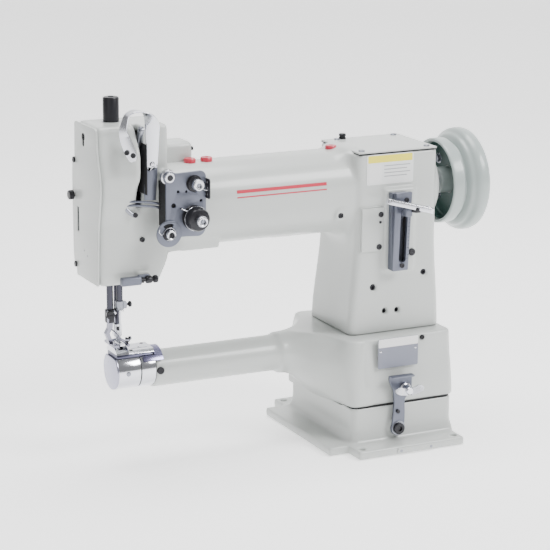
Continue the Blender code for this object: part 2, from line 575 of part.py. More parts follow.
def make_inner_foot():
    y = INNER_BAR_Y
    pivot = (NEEDLE_X, y, 0)
    turned("inner_foot_bar", [(0, 146), (3, 146), (3, 322), (0, 322)], "steel", pivot, "Z", 16)
    sole = plate("inner_foot", [(NEEDLE_X - 2.9, -11), (NEEDLE_X + 2.9, -11), (NEEDLE_X + 2.9, 6.5),
                                (NEEDLE_X - 2.9, 6.5)], PLATE_Z + 0.5, PLATE_Z + 3.2, "XY", "chrome", bevel=0.3)
    leg = loft("inner_leg", [[(NEEDLE_X + u, y + v, z) for u, v in ((-2.4, a), (2.4, a), (2.4, b), (-2.4, b))]
                             for z, a, b in ((PLATE_Z + 1, -3.0, 1.2), (136, -3.0, 1.5), (139, -3.2, 3.2),
                                             (142, -3.6, 3.6))])
    block = box("inner_block", (NEEDLE_X - 4.1, y - 3.7, 139.5), (NEEDLE_X + 4.1, y + 3.7, 153), bevel=0.6, steps=1)
    joined(sole, leg, baked(block))
    cut(sole, cylinder("inner_bore", (NEEDLE_X, y, 145.6), (NEEDLE_X, y, 170), 3.3, sides=16),
        cylinder("needle_hole", (NEEDLE_X, NEEDLE_Y, 100), (NEEDLE_X, NEEDLE_Y, 138), 1.7, sides=12))


def make_take_up():
    """The lever turns in its own plane inside the slot; the guard is a bent strip over it."""
    x0, x1 = -290.6, -286.2
    pivot = ((x0 + x1) / 2, DRUM_Y, DRUM_Z)
    tip, width = (-45.0, 366.0), 3.6
    across = Vector((tip[1] - DRUM_Z, -(tip[0] - DRUM_Y))).normalized() * width
    outline = [(DRUM_Y + across.x * 1.6, DRUM_Z + across.y * 1.6), (tip[0] + across.x, tip[1] + across.y),
               (tip[0] - across.x, tip[1] - across.y), (DRUM_Y - across.x * 1.6, DRUM_Z - across.y * 1.6)]
    lever = plate("take_up_lever", outline, x0, x1, "YZ", "steel", pivot)
    hub = cylinder("take_up_hub", (x0, DRUM_Y, DRUM_Z), (x1 - 0.05, DRUM_Y, DRUM_Z), 8, sides=20)
    tip_ring = cylinder("take_up_tip", (x0 + 0.05, *tip), (x1 - 0.1, *tip), 4.2, sides=16)
    joined(lever, hub, tip_ring)
    cut(lever, cylinder("tip_eye", (x0 - 3, *tip), (x1 + 3, *tip), 1.6, sides=12))


def make_guard():
    """A strip 1.5 mm thick: a foot screwed to the boss, an arch over the lever and a leg down the front."""
    half_thick = 0.75
    stations = (((-300.2, -53.0, 338.0), (0.87, -0.49, 0), 4.0), ((-302.5, -51.8, 344.0), (0.87, -0.49, 0), 5.6),
                ((-309.3, -48.8, 365.0), (0.75, -0.66, 0), 4.6), ((-307.5, -49.0, 376.0), (0.5, -0.86, 0), 4.2),
                ((-304.0, -50.0, 384.5), (0.2, -0.98, 0), 5.0), ((-295.0, -51.0, 387.3), (0.1, -1, 0), 6.4),
                ((-284.5, -51.0, 383.6), (0.3, -0.95, 0), 7.0), ((-279.0, -50.0, 374.0), (0.7, -0.7, 0), 7.2),
                ((-277.5, -48.0, 360.0), (1, -0.1, 0), 7.0), ((-278.0, -46.5, 330.0), (1, 0, 0), 6.6),
                ((-280.8, -45.5, 294.0), (1, 0, 0), 6.0))
    points = [Vector(station[0]) for station in stations]
    sections = []
    for i, (at, wide, half) in enumerate(stations):
        at, wide = Vector(at), Vector(wide)
        ahead = (points[min(i + 1, len(points) - 1)] - points[max(i - 1, 0)]).normalized()
        wide = (wide - ahead * wide.dot(ahead)).normalized()
        out = ahead.cross(wide).normalized() * half_thick
        sections.append([at + wide * half + out, at - wide * half + out,
                         at - wide * half - out, at + wide * half - out])
    loft("take_up_guard", sections, "chrome")


# ---------------------------------------------------------------- tension and guides


def make_tension():
    y = TENSION_Y
    outline = (arc(-229.5, 316, 6.2, 0, 90, 4) + arc(-262, 317, 6.2, 90, 180, 4)
               + [(-266.5, 310), (-266.5, 262)] + arc(-262.5, 260, 6.0, 180, 270, 3) + [(-245, 253.8)]
               + arc(-231.5, 262, 8.5, 270, 350, 4) + [(-223.3, 270)])
    tension = plate("tension_plate", outline, y - 2.5, y, "XZ", "grey_plate")
    cut(tension, *[cylinder(f"thread_hole_{i}", (x, y - 10, z), (x, y + 5, z), r, sides=10)
                   for i, (x, z, r) in enumerate(((-253.5, 302, 1.6), (-244.5, 301.5, 1.2), (-234.5, 300.5, 1.2),
                                                  (-258.5, 288, 2.6), (-250, 283.5, 1.2)))])
    front = y - 2.5 - GAP
    turned("pretension_disc", [(0, front), (8.2, front), (8.2, front - 1.6), (6.6, front - 4.2), (0, front - 4.2)],
           "black", (-236, 0, 309.5), "Y", 20)
    turned("pretension_nut", [(0, front - 4.5), (5.2, front - 4.5), (6, front - 6), (6, front - 12.5),
                              (4.6, front - 13.5), (0, front - 13.5)], "chrome", (-236, 0, 309.5), "Y", 20)
    turned("main_tension_drum", [(0, front), (10, front), (12.2, front - 1.6), (12.2, front - 3), (9, front - 5),
                                 (12.2, front - 7), (12.2, front - 13.5), (10.5, front - 16), (0, front - 16)],
           "black", (-236.5, 0, 274), "Y", 24)
    turned("main_tension_nut", [(0, front - 16.3), (5.2, front - 16.3), (5.6, front - 17.3), (5.6, front - 23),
                                (4.8, front - 24), (2.2, front - 24), (2.2, front - 21.5), (0, front - 21.5)],
           "chrome", (-236.5, 0, 274), "Y", 20)
    turned("check_spring_disc", [(0, front), (14, front), (14, front - 1.8), (6, front - 2.4), (0, front - 2.4)],
           "grey_plate", (-264.5, 0, 259.5), "Y", 28)
    turned("check_spring_nut", [(0, front - 2.8), (5.2, front - 2.8), (5.2, front - 7.5), (4.4, front - 8.4),
                                (0, front - 8.4)], "chrome", (-264.5, 0, 259.5), "Y", 16)
    guide = plate("thread_guide_plate", [(y - 10.5, 293), (y + 0.5, 293), (y + 0.5, 314), (y - 10.5, 314)],
                  -222.6, -221.0, "YZ", "black", bevel=0.4)
    cut(guide, *[cylinder(f"guide_eye_{i}", (-230, y - 5, z), (-215, y - 5, z), 1.7, sides=10)
                 for i, z in enumerate((297.0, 303.5, 310.0))])


def make_guides():
    guide = box("head_thread_guide", (-308, HEAD_Y0 - 3.0, 284), (-293, HEAD_Y0 - GAP, 294), "steel", 0.8, 1)
    baked(guide)
    joined(guide, cylinder("guide_wire", (-300, HEAD_Y0 - 2.2, 291), (-269, HEAD_Y0 - 9, 287), 1.3, sides=8),
           cylinder("guide_foot", (-301, HEAD_Y0 - 3.4, 286), (-293, HEAD_Y0 - 4.2, 277), 2.6, sides=10))
    bracket = box("edge_guide_bracket", (-312, -48.5, 206), (-290.5, -40.3, 214.5), "grey_plate", 1.2, 1)
    baked(bracket)
    cut(bracket, cylinder("bracket_eye", (-320, -44.7, 210.2), (-280, -44.7, 210.2), 2.0, sides=12))
    turned("guide_thumb_screw", [(0, -312.5), (1.7, -312.5), (1.7, -283.5), (4, -283.5), (4, -278.6), (2.2, -278.0),
                                 (2.2, -277.2), (4, -276.6), (4, -272), (0, -272)], "black",
           (0, -44.7, 210.2), "X", 16)


# ---------------------------------------------------------------- stitch regulator

LEVER_X, LEVER_Y, LEVER_Z = 8.0, -12.0, 232.0


def make_stitch_regulator():
    bracket = plate("stitch_scale_bracket", [(-4, 193), (15.0, 193), (18.5, 279), (-2, 279)], -61.5, -50.4, "XZ",
                    "grey_plate", bevel=0.6)
    cut(bracket, box("scale_slot", (3.2, -70, 204), (12.8, -45, 262)),
        box("scale_recess", (0.5, -57.5, 190), (12.9, -45, 290)))
    pivot = (LEVER_X, LEVER_Y, LEVER_Z)
    bar = loft("stitch_lever", [
        [(x, y + v, z + w) for v, w in ((-5.5, -2.9), (5.5, -2.9), (5.5, 2.9), (-5.5, 2.9))]
        for x, y, z in ((-15.6, -68, 273.3), (0, -71, 269), (18, -76, 264.5), (34.5, -80, 260.5))], "steel", pivot)
    add_bevel(bar, 0.8, 1)
    baked(bar)
    stem = loft("lever_stem", [[(LEVER_X + u, y, z + v) for u, v in ((-2.6, -3), (2.6, -3), (2.6, 3), (-2.6, 3))]
                               for y, z in ((-10, 231.5), (-50, 247), (-72, 264))])
    hub = cylinder("lever_hub", (LEVER_X - 4, LEVER_Y, LEVER_Z), (LEVER_X + 3.6, LEVER_Y, LEVER_Z), 6, sides=20)
    joined(bar, stem, hub)
    cut(bar, cylinder("lever_eye", (29.5, -79, 275), (29.5, -79, 245), 2.6, sides=14))
    turned("stitch_lever_nut", [(0, -3.0), (5.4, -3.0), (5.4, -8.6), (4.4, -9.4), (0, -9.4)], "black",
           (15.5, -76.0, 263.2), "Z", 16)


make_base()
make_base_fittings()
make_latch()
make_wing_bolt()
make_bed_casting()
make_bed_end()
make_hook_shaft()
make_arm_casting()
make_head_covers()
make_caps()
make_main_shaft()
make_timing_belt()
make_needle_bar()
make_presser_bar()
make_inner_foot()
make_take_up()
make_guard()
make_tension()
make_guides()
make_stitch_regulator()
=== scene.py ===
import bpy
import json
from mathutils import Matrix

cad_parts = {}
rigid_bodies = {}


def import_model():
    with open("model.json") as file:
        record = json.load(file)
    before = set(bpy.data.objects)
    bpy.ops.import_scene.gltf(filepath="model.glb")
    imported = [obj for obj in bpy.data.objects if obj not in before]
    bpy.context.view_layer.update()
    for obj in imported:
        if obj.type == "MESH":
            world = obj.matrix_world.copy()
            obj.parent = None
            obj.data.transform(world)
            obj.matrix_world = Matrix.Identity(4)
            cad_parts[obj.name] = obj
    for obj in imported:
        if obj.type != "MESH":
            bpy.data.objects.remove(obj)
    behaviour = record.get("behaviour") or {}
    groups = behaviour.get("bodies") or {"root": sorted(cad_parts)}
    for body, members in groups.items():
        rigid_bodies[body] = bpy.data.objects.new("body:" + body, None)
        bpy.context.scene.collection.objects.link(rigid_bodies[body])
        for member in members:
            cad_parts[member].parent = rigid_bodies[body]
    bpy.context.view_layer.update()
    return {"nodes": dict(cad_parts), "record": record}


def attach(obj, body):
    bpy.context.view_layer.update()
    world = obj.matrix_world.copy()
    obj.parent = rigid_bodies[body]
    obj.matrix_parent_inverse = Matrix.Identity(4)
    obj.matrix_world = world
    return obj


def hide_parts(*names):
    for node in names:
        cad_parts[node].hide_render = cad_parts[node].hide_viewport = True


for old in list(bpy.data.objects):
    bpy.data.objects.remove(old, do_unlink=True)
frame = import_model()

import json
import math

import bmesh
import numpy as np
from mathutils import Matrix, Vector

MM = 0.001
SHIFT = Vector((111.0, 0.0, 0.0))      # machine millimetres to the frame
nodes = frame["nodes"]
HEAD, BASE = "machine_head", "base"
FORE, LEFT, RIGHT, UP = (0, -1, 0), (-1, 0, 0), (1, 0, 0), (0, 0, 1)
# places in machine millimetres, as in the CAD: x from the column's centre line, y to the back, z up
SHAFT_Z = 275                           # main shaft
CAP_Z = 103.5                           # centre of the bed end
HINGE_Y, HINGE_Z = 88, 50               # tilt hinge
LATCH_X, LATCH_Z = -6, 22.5             # latch pivot
NX, NY = -298.0, -4.0                   # needle bar
PX = -307.5                             # presser bar
REGULATOR_X = -303.0                    # pressure regulator
TY = -55.0                              # back of the tension plate
SPRING_X, SPRING_Z = -264.5, 259.5      # thread check spring
MAIN_X, MAIN_Z = -236.5, 274            # main tension
PRE_X, PRE_Z = -236, 309.5              # pretension


def place(point):
    return (Vector(point) + SHIFT) * MM


# ---------------------------------------------------------------- materials


def material(name, color, rough, metal=0.0, bump=0.0, scale=400.0, coat=0.0, mottle=0.03, stretch=(1, 1, 1)):
    """A finish with a little procedural unevenness in colour, roughness and surface."""
    mat = bpy.data.materials.new(name)
    mat.use_nodes = True
    tree = mat.node_tree
    shader = tree.nodes["Principled BSDF"]
    shader.inputs["Metallic"].default_value = metal
    shader.inputs["Coat Weight"].default_value = coat
    shader.inputs["Coat Roughness"].default_value = 0.12
    where = tree.nodes.new("ShaderNodeTexCoord")
    turn = tree.nodes.new("ShaderNodeMapping")
    turn.inputs["Scale"].default_value = stretch
    tree.links.new(where.outputs["Object"], turn.inputs["Vector"])
    noise = tree.nodes.new("ShaderNodeTexNoise")
    noise.inputs["Scale"].default_value = scale
    noise.inputs["Detail"].default_value = 3
    tree.links.new(turn.outputs["Vector"], noise.inputs["Vector"])
    broad = tree.nodes.new("ShaderNodeTexNoise")
    broad.inputs["Scale"].default_value = 22
    broad.inputs["Detail"].default_value = 2
    tree.links.new(where.outputs["Object"], broad.inputs["Vector"])
    ramp = tree.nodes.new("ShaderNodeMapRange")
    ramp.inputs["To Min"].default_value = rough * 0.85
    ramp.inputs["To Max"].default_value = min(1.0, rough * 1.2)
    tree.links.new(noise.outputs["Fac"], ramp.inputs["Value"])
    tree.links.new(ramp.outputs["Result"], shader.inputs["Roughness"])
    mix = tree.nodes.new("ShaderNodeMix")
    mix.data_type = "RGBA"
    mix.inputs["A"].default_value = (*[c * (1 - mottle) for c in color], 1)
    mix.inputs["B"].default_value = (*[min(1, c * (1 + mottle)) for c in color], 1)
    tree.links.new(broad.outputs["Fac"], mix.inputs["Factor"])
    tree.links.new(mix.outputs["Result"], shader.inputs["Base Color"])
    if bump:
        lift = tree.nodes.new("ShaderNodeBump")
        lift.inputs["Strength"].default_value = bump
        lift.inputs["Distance"].default_value = 0.0002
        tree.links.new(noise.outputs["Fac"], lift.inputs["Height"])
        tree.links.new(lift.outputs["Normal"], shader.inputs["Normal"])
    return mat


PAINT = material("paint", (0.50, 0.52, 0.505), 0.34, bump=0.12, scale=260, coat=0.35, mottle=0.02)
PLATE = material("grey_plate", (0.15, 0.16, 0.20), 0.4, 0.75, bump=0.1, scale=700, stretch=(1, 1, 0.08))
WHEEL = material("wheel_paint", (0.34, 0.39, 0.38), 0.36, bump=0.1, coat=0.4)
CUP = material("cup_green", (0.03, 0.08, 0.07), 0.45, bump=0.1)
CHROME = material("chrome", (0.72, 0.73, 0.78), 0.14, 1.0, mottle=0.02)
STEEL = material("steel", (0.28, 0.29, 0.33), 0.3, 1.0, bump=0.08, scale=900)
BRIGHT = material("bright_steel", (0.70, 0.71, 0.76), 0.24, 1.0, bump=0.05, scale=900)
BLACK = material("black", (0.018, 0.018, 0.022), 0.32, 0.4)
RED = material("red", (0.52, 0.03, 0.06), 0.35, coat=0.4)
RUBBER = material("rubber", (0.02, 0.02, 0.02), 0.7, bump=0.2)
BRASS = material("brass", (0.55, 0.42, 0.18), 0.32, 1.0)
# near-black for dark joints (gaskets, base split) and, as painted shade, for sheets inside holes, slots and
# gaps
DARK = material("dark_joint_and_painted_shade", (0.012, 0.012, 0.014), 0.8)
BLUED = material("slide_blue", (0.21, 0.20, 0.33), 0.22, 0.9, scale=500)
# painted shadow: dark bluish colour for the shadow beneath the needle plate
PAINTED_PLATE_SHADOW = material("plate_shadow", (0.10, 0.10, 0.15), 0.3, 0.8)
# painted shade: a darker, bluish copy of the chrome for the end face of the chrome hook cap
CHROME_PAINTED_SHADE = material("cap_face", (0.40, 0.40, 0.50), 0.25, 1.0)
WHITE = material("label_white", (0.78, 0.78, 0.78), 0.5)
LABEL = material("label_pale", (0.74, 0.75, 0.75), 0.5)
YELLOW = material("label_yellow", (0.80, 0.70, 0.06), 0.5)
GREY = material("label_grey", (0.30, 0.31, 0.33), 0.5)
NAME = material("name_grey", (0.20, 0.21, 0.26), 0.45, 0.3)
PLATE_PAINT = material("plate_pale", (0.24, 0.25, 0.29), 0.34, 0.35)
SLOTS = {"paint": PAINT, "grey_plate": PLATE, "wheel_paint": WHEEL, "chrome": CHROME, "steel": STEEL,
    "black": BLACK, "red": RED, "rubber": RUBBER, "brass": BRASS}
for part in frame["record"]["subparts"]:
    shown = nodes[part["node"]]
    shown.data.materials.clear()
    shown.data.materials.append(SLOTS[part["material_slot"]])

# ---------------------------------------------------------------- making pieces


def own(name, mesh, mat, body, sharp=35):
    """Puts a mesh in machine millimetres into the scene as a piece that rides on a body."""
    mesh.transform(Matrix.Scale(MM, 4) @ Matrix.Translation(SHIFT))
    piece = bpy.data.objects.new(name, mesh)
    bpy.context.scene.collection.objects.link(piece)
    mesh.materials.append(mat)
    mesh.shade_smooth()
    if sharp:
        mesh.set_sharp_from_angle(angle=math.radians(sharp))
    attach(piece, body)
    return piece


def filled(builder):
    bm = bmesh.new()
    builder(bm)
    bmesh.ops.recalc_face_normals(bm, faces=bm.faces)
    mesh = bpy.data.meshes.new("mesh")
    bm.to_mesh(mesh)
    bm.free()
    return mesh


def rounded(piece, width, steps=3, angle=30):
    bevel = piece.modifiers.new("edges", "BEVEL")
    bevel.width = width * MM
    bevel.segments = steps
    bevel.limit_method = "ANGLE"
    bevel.angle_limit = math.radians(angle)
    bevel.harden_normals = False
    return piece


def axis_frame(origin, axis, up=UP):
    """Matrix whose Z runs along axis, at origin."""
    z = Vector(axis).normalized()
    side = Vector(up).cross(z)
    if side.length < 1e-4:
        side = Vector(RIGHT).cross(z)
    if side.length < 1e-4:
        side = Vector((0, 1, 0))
    x = side.normalized()
    y = z.cross(x)
    turn = Matrix((x, y, z)).transposed().to_4x4()
    return Matrix.Translation(Vector(origin)) @ turn


def lathe(name, profile, origin, axis, mat, body, sides=48, sharp=35):
    """(radius, distance) points turned round axis at origin."""

    def build(bm):
        rings = []
        for r, h in profile:
            if r < 1e-6:
                rings.append([bm.verts.new((0, 0, h))])
            else:
                rings.append([bm.verts.new((r * math.cos(2 * math.pi * i / sides),
                    r * math.sin(2 * math.pi * i / sides), h)) for i in range(sides)])
        for a, b in zip(rings, rings[1:]):
            for i in range(sides):
                j = (i + 1) % sides
                corner = [a[i % len(a)], a[j % len(a)], b[j % len(b)], b[i % len(b)]]
                unique = list(dict.fromkeys(corner))
                if len(unique) > 2:
                    bm.faces.new(unique)

    mesh = filled(build)
    mesh.transform(axis_frame(origin, axis))
    return own(name, mesh, mat, body, sharp=sharp)


def prism(name, outline, low, high, plane, mat, body, bevel=0.0, holes=(), sharp=35):
    """A sheet with round or slotted holes. Outline and holes are lists of points in the plane."""
    curve = bpy.data.curves.new("outline", "CURVE")
    curve.dimensions = "2D"
    curve.fill_mode = "BOTH"
    curve.extrude = abs(high - low) / 2 - bevel
    curve.bevel_depth = bevel
    curve.bevel_resolution = 2
    curve.offset = -bevel
    for ring in (outline, *holes):
        spline = curve.splines.new("POLY")
        spline.points.add(len(ring) - 1)
        spline.use_cyclic_u = True
        for point, (u, v) in zip(spline.points, ring):
            point.co = (u, v, 0, 1)
    maker = bpy.data.objects.new("maker", curve)
    mesh = bpy.data.meshes.new_from_object(maker)
    bpy.data.objects.remove(maker)
    bm = bmesh.new()
    bm.from_mesh(mesh)
    bmesh.ops.remove_doubles(bm, verts=bm.verts, dist=0.01)
    bmesh.ops.recalc_face_normals(bm, faces=bm.faces)
    bm.to_mesh(mesh)
    bm.free()
    middle = (low + high) / 2
    turn = {"XY": Matrix(((1, 0, 0, 0), (0, 1, 0, 0), (0, 0, 1, middle), (0, 0, 0, 1))),
        "XZ": Matrix(((1, 0, 0, 0), (0, 0, -1, middle), (0, 1, 0, 0), (0, 0, 0, 1))),
        "YZ": Matrix(((0, 0, 1, middle), (1, 0, 0, 0), (0, 1, 0, 0), (0, 0, 0, 1)))}[plane]
    mesh.transform(turn)
    return own(name, mesh, mat, body, sharp=sharp)


def circle(cx, cy, r, count=24):
    return [(cx + r * math.cos(2 * math.pi * i / count), cy + r * math.sin(2 * math.pi * i / count))
        for i in range(count)]


def arc(cx, cy, r, start, end, steps):
    angles = [math.radians(start + (end - start) * i / steps) for i in range(steps + 1)]
    return [(cx + r * math.cos(a), cy + r * math.sin(a)) for a in angles]


def round_rect(x0, x1, y0, y1, r, steps=6):
    corners = ((x1 - r, y1 - r, 0), (x0 + r, y1 - r, 90), (x0 + r, y0 + r, 180), (x1 - r, y0 + r, 270))
    return [p for cx, cy, a in corners for p in arc(cx, cy, r, a, a + 90, steps)]


def block(name, low, high, mat, body, bevel=1.0, steps=3):
    low, high = Vector(low), Vector(high)

    def build(bm):
        bmesh.ops.create_cube(bm, size=1)
        bmesh.ops.scale(bm, vec=high - low, verts=bm.verts)
        bmesh.ops.translate(bm, vec=(low + high) / 2, verts=bm.verts)

    return rounded(own(name, filled(build), mat, body), bevel, steps)


def tube(name, points, radius, mat, body, sides=4):
    """A bent wire through points."""
    curve = bpy.data.curves.new(name, "CURVE")
    curve.dimensions = "3D"
    curve.bevel_depth = radius
    curve.bevel_resolution = sides
    curve.use_fill_caps = True
    spline = curve.splines.new("POLY")
    spline.points.add(len(points) - 1)
    for point, at in zip(spline.points, points):
        point.co = (*at, 1)
    maker = bpy.data.objects.new("maker", curve)
    mesh = bpy.data.meshes.new_from_object(maker)
    bpy.data.objects.remove(maker)
    return own(name, mesh, mat, body)


def smooth_path(points, steps=6):
    """A rounded path through points."""
    found = []
    p = [Vector(q) for q in points]
    for i in range(len(p) - 1):
        a, b, c, d = p[max(i - 1, 0)], p[i], p[i + 1], p[min(i + 2, len(p) - 1)]
        for j in range(steps):
            t = j / steps
            found.append(0.5 * (2 * b + (c - a) * t + (2 * a - 5 * b + 4 * c - d) * t * t
                + (3 * b - a - 3 * c + d) * t ** 3))
    found.append(p[-1])
    return found


def flat_path(points, steps):
    """A rounded outline through points of a plane."""
    return [(v.x, v.y) for v in smooth_path([(u, v, 0) for u, v in points], steps)]


def screw(name, at, axis, radius, height, body, mat=STEEL, kind="slot"):
    """A cheese-head, socket or hex screw standing on a face."""
    if kind == "hex":
        def build(bm):
            low = [bm.verts.new((radius * math.cos(a), radius * math.sin(a), 0))
                for a in (math.radians(60 * i) for i in range(6))]
            face = bm.faces.new(low)
            up = bmesh.ops.extrude_face_region(bm, geom=[face])
            bmesh.ops.translate(bm, vec=(0, 0, height),
                verts=[v for v in up["geom"] if isinstance(v, bmesh.types.BMVert)])
        mesh = filled(build)
        mesh.transform(axis_frame(at, axis))
        return rounded(own(name, mesh, mat, body), 0.4, 2)
    edge = min(0.5, height * 0.3)
    if kind == "socket":
        deep = min(height * 0.6, 2.0)
        inner = radius * 0.48
        profile = [(0, -0.3), (radius, -0.3), (radius, height - edge), (radius - edge, height),
            (inner, height), (inner * 0.95, height - deep), (0, height - deep)]
        return lathe(name, profile, at, axis, mat, body, 24)
    head = lathe(name, [(0, -0.3), (radius, -0.3), (radius, height - edge), (radius - edge, height),
        (0, height)], at, axis, mat, body, 32)
    groove = block(name + "_groove", (-radius * 1.2, -0.35, height - 0.7), (radius * 1.2, 0.35, height + 1),
        DARK, body, 0.02, 1)
    groove.data.transform(Matrix.Translation(-SHIFT * MM))
    turn = axis_frame(Vector(at) * MM, axis)
    spin = Matrix.Rotation(math.radians((sum(map(ord, name)) * 37) % 180), 4, "Z")
    groove.data.transform(Matrix.Translation(SHIFT * MM) @ turn @ spin)
    cut = head.modifiers.new("slot", "BOOLEAN")
    cut.operation = "DIFFERENCE"
    cut.object = groove
    settle(head)
    bpy.data.objects.remove(groove)
    head.data.shade_smooth()
    head.data.set_sharp_from_angle(angle=math.radians(35))
    return head


def settle(piece):
    """Applies a piece's modifiers."""
    bpy.context.view_layer.update()
    seen = piece.evaluated_get(bpy.context.evaluated_depsgraph_get())
    mesh = bpy.data.meshes.new_from_object(seen)
    piece.modifiers.clear()
    piece.data = mesh
    return piece


# ---------------------------------------------------------------- castings as smooth fields


def box_field(P, low, high, r):
    x, y, z = P
    qx = abs(x - (low[0] + high[0]) / 2) - (high[0] - low[0]) / 2 + r
    qy = abs(y - (low[1] + high[1]) / 2) - (high[1] - low[1]) / 2 + r
    qz = abs(z - (low[2] + high[2]) / 2) - (high[2] - low[2]) / 2 + r
    outside = np.sqrt(np.maximum(qx, 0) ** 2 + np.maximum(qy, 0) ** 2 + np.maximum(qz, 0) ** 2)
    return outside + np.minimum(np.maximum(qx, np.maximum(qy, qz)), 0) - r


def round_corner(a, b):
    """Distance to the corner where two faces meet."""
    return np.sqrt(np.maximum(a, 0) ** 2 + np.maximum(b, 0) ** 2) + np.minimum(np.maximum(a, b), 0)


def column_field(P, x0, x1, y0, y1, z0, z1, r, top_r=2.0):
    """A rounded column whose sides may depend on z."""
    x, y, z = P
    qx = abs(x - (x0 + x1) / 2) - (x1 - x0) / 2 + r
    qy = abs(y - (y0 + y1) / 2) - (y1 - y0) / 2 + r
    flat = round_corner(qx, qy) - r
    side = flat + top_r
    end = abs(z - (z0 + z1) / 2) - (z1 - z0) / 2 + top_r
    return round_corner(side, end) - top_r


def rod_field(P, axis, a, b, low, high, r, edge=0.5):
    """A round bar along an axis. a and b are its place on the other two."""
    x, y, z = P
    along, u, v = {"X": (x, y, z), "Y": (y, x, z), "Z": (z, x, y)}[axis]
    side = np.sqrt((u - a) ** 2 + (v - b) ** 2) - r + edge
    end = abs(along - (low + high) / 2) - (high - low) / 2 + edge
    return round_corner(side, end) - edge


def join_fields(a, b, k):
    """Union with a cast fillet about k wide."""
    h = np.maximum(k - abs(a - b), 0) / k
    return np.minimum(a, b) - h * h * k * 0.25


def cut_fields(a, b, k):
    h = np.maximum(k - abs(a + b), 0) / k
    return np.maximum(a, -b) + h * h * k * 0.25


def ramp(value, low, high, at_low, at_high):
    t = np.clip((value - low) / (high - low), 0, 1)
    t = t * t * (3 - 2 * t)
    return at_low + (at_high - at_low) * t


def surface(name, field, low, high, step, mat, body, replaced, smooth=3):
    """The skin where a field is zero, as one quad mesh."""
    axes = [np.arange(a - 2 * step, b + 3 * step, step, dtype=np.float32) for a, b in zip(low, high)]
    P = np.meshgrid(*axes, indexing="ij")
    V = field(P).astype(np.float32)
    inside = V < 0
    shape = np.array(V.shape) - 1
    total = np.zeros((*shape, 3), np.float32)
    count = np.zeros(shape, np.float32)
    edges = []
    for axis in range(3):
        lo = [slice(None)] * 3
        hi = [slice(None)] * 3
        lo[axis], hi[axis] = slice(None, -1), slice(1, None)
        a, b = V[tuple(lo)], V[tuple(hi)]
        crossed = inside[tuple(lo)] != inside[tuple(hi)]
        where = np.argwhere(crossed)
        va, vb = a[crossed], b[crossed]
        point = where.astype(np.float32)
        point[:, axis] += va / (va - vb)
        others = [i for i in range(3) if i != axis]
        for du in (0, -1):
            for dv in (0, -1):
                cell = where.copy()
                cell[:, others[0]] += du
                cell[:, others[1]] += dv
                good = ((cell >= 0) & (cell < shape)).all(axis=1)
                key = tuple(cell[good].T)
                np.add.at(total, key, point[good])
                np.add.at(count, key, 1)
        edges.append((axis, others, where, va < 0))
    used = count > 0
    index = np.full(count.shape, -1, np.int64)
    index[used] = np.arange(used.sum())
    corner = total[used] / count[used][:, None]
    start = np.array([a[0] for a in axes], np.float32)
    points = start + corner * step
    quads = []
    for axis, others, where, starts_inside in edges:
        cells = []
        for du, dv in ((0, 0), (-1, 0), (-1, -1), (0, -1)):
            cell = where.copy()
            cell[:, others[0]] += du
            cell[:, others[1]] += dv
            cells.append(cell)
        quad = np.stack([index[tuple(c.T)] for c in cells], axis=1)
        flip = starts_inside if axis == 1 else ~starts_inside
        quad[flip] = quad[flip][:, ::-1]
        quads.append(quad)
    quads = np.concatenate(quads)
    mesh = bpy.data.meshes.new(name)
    mesh.from_pydata(points.tolist(), [], quads.tolist())
    mesh.update()
    piece = own(name, mesh, mat, body, sharp=None)
    relax = piece.modifiers.new("settle", "SMOOTH")
    relax.factor = 0.5
    relax.iterations = smooth
    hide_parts(*replaced)
    return piece


STEP = 1.7


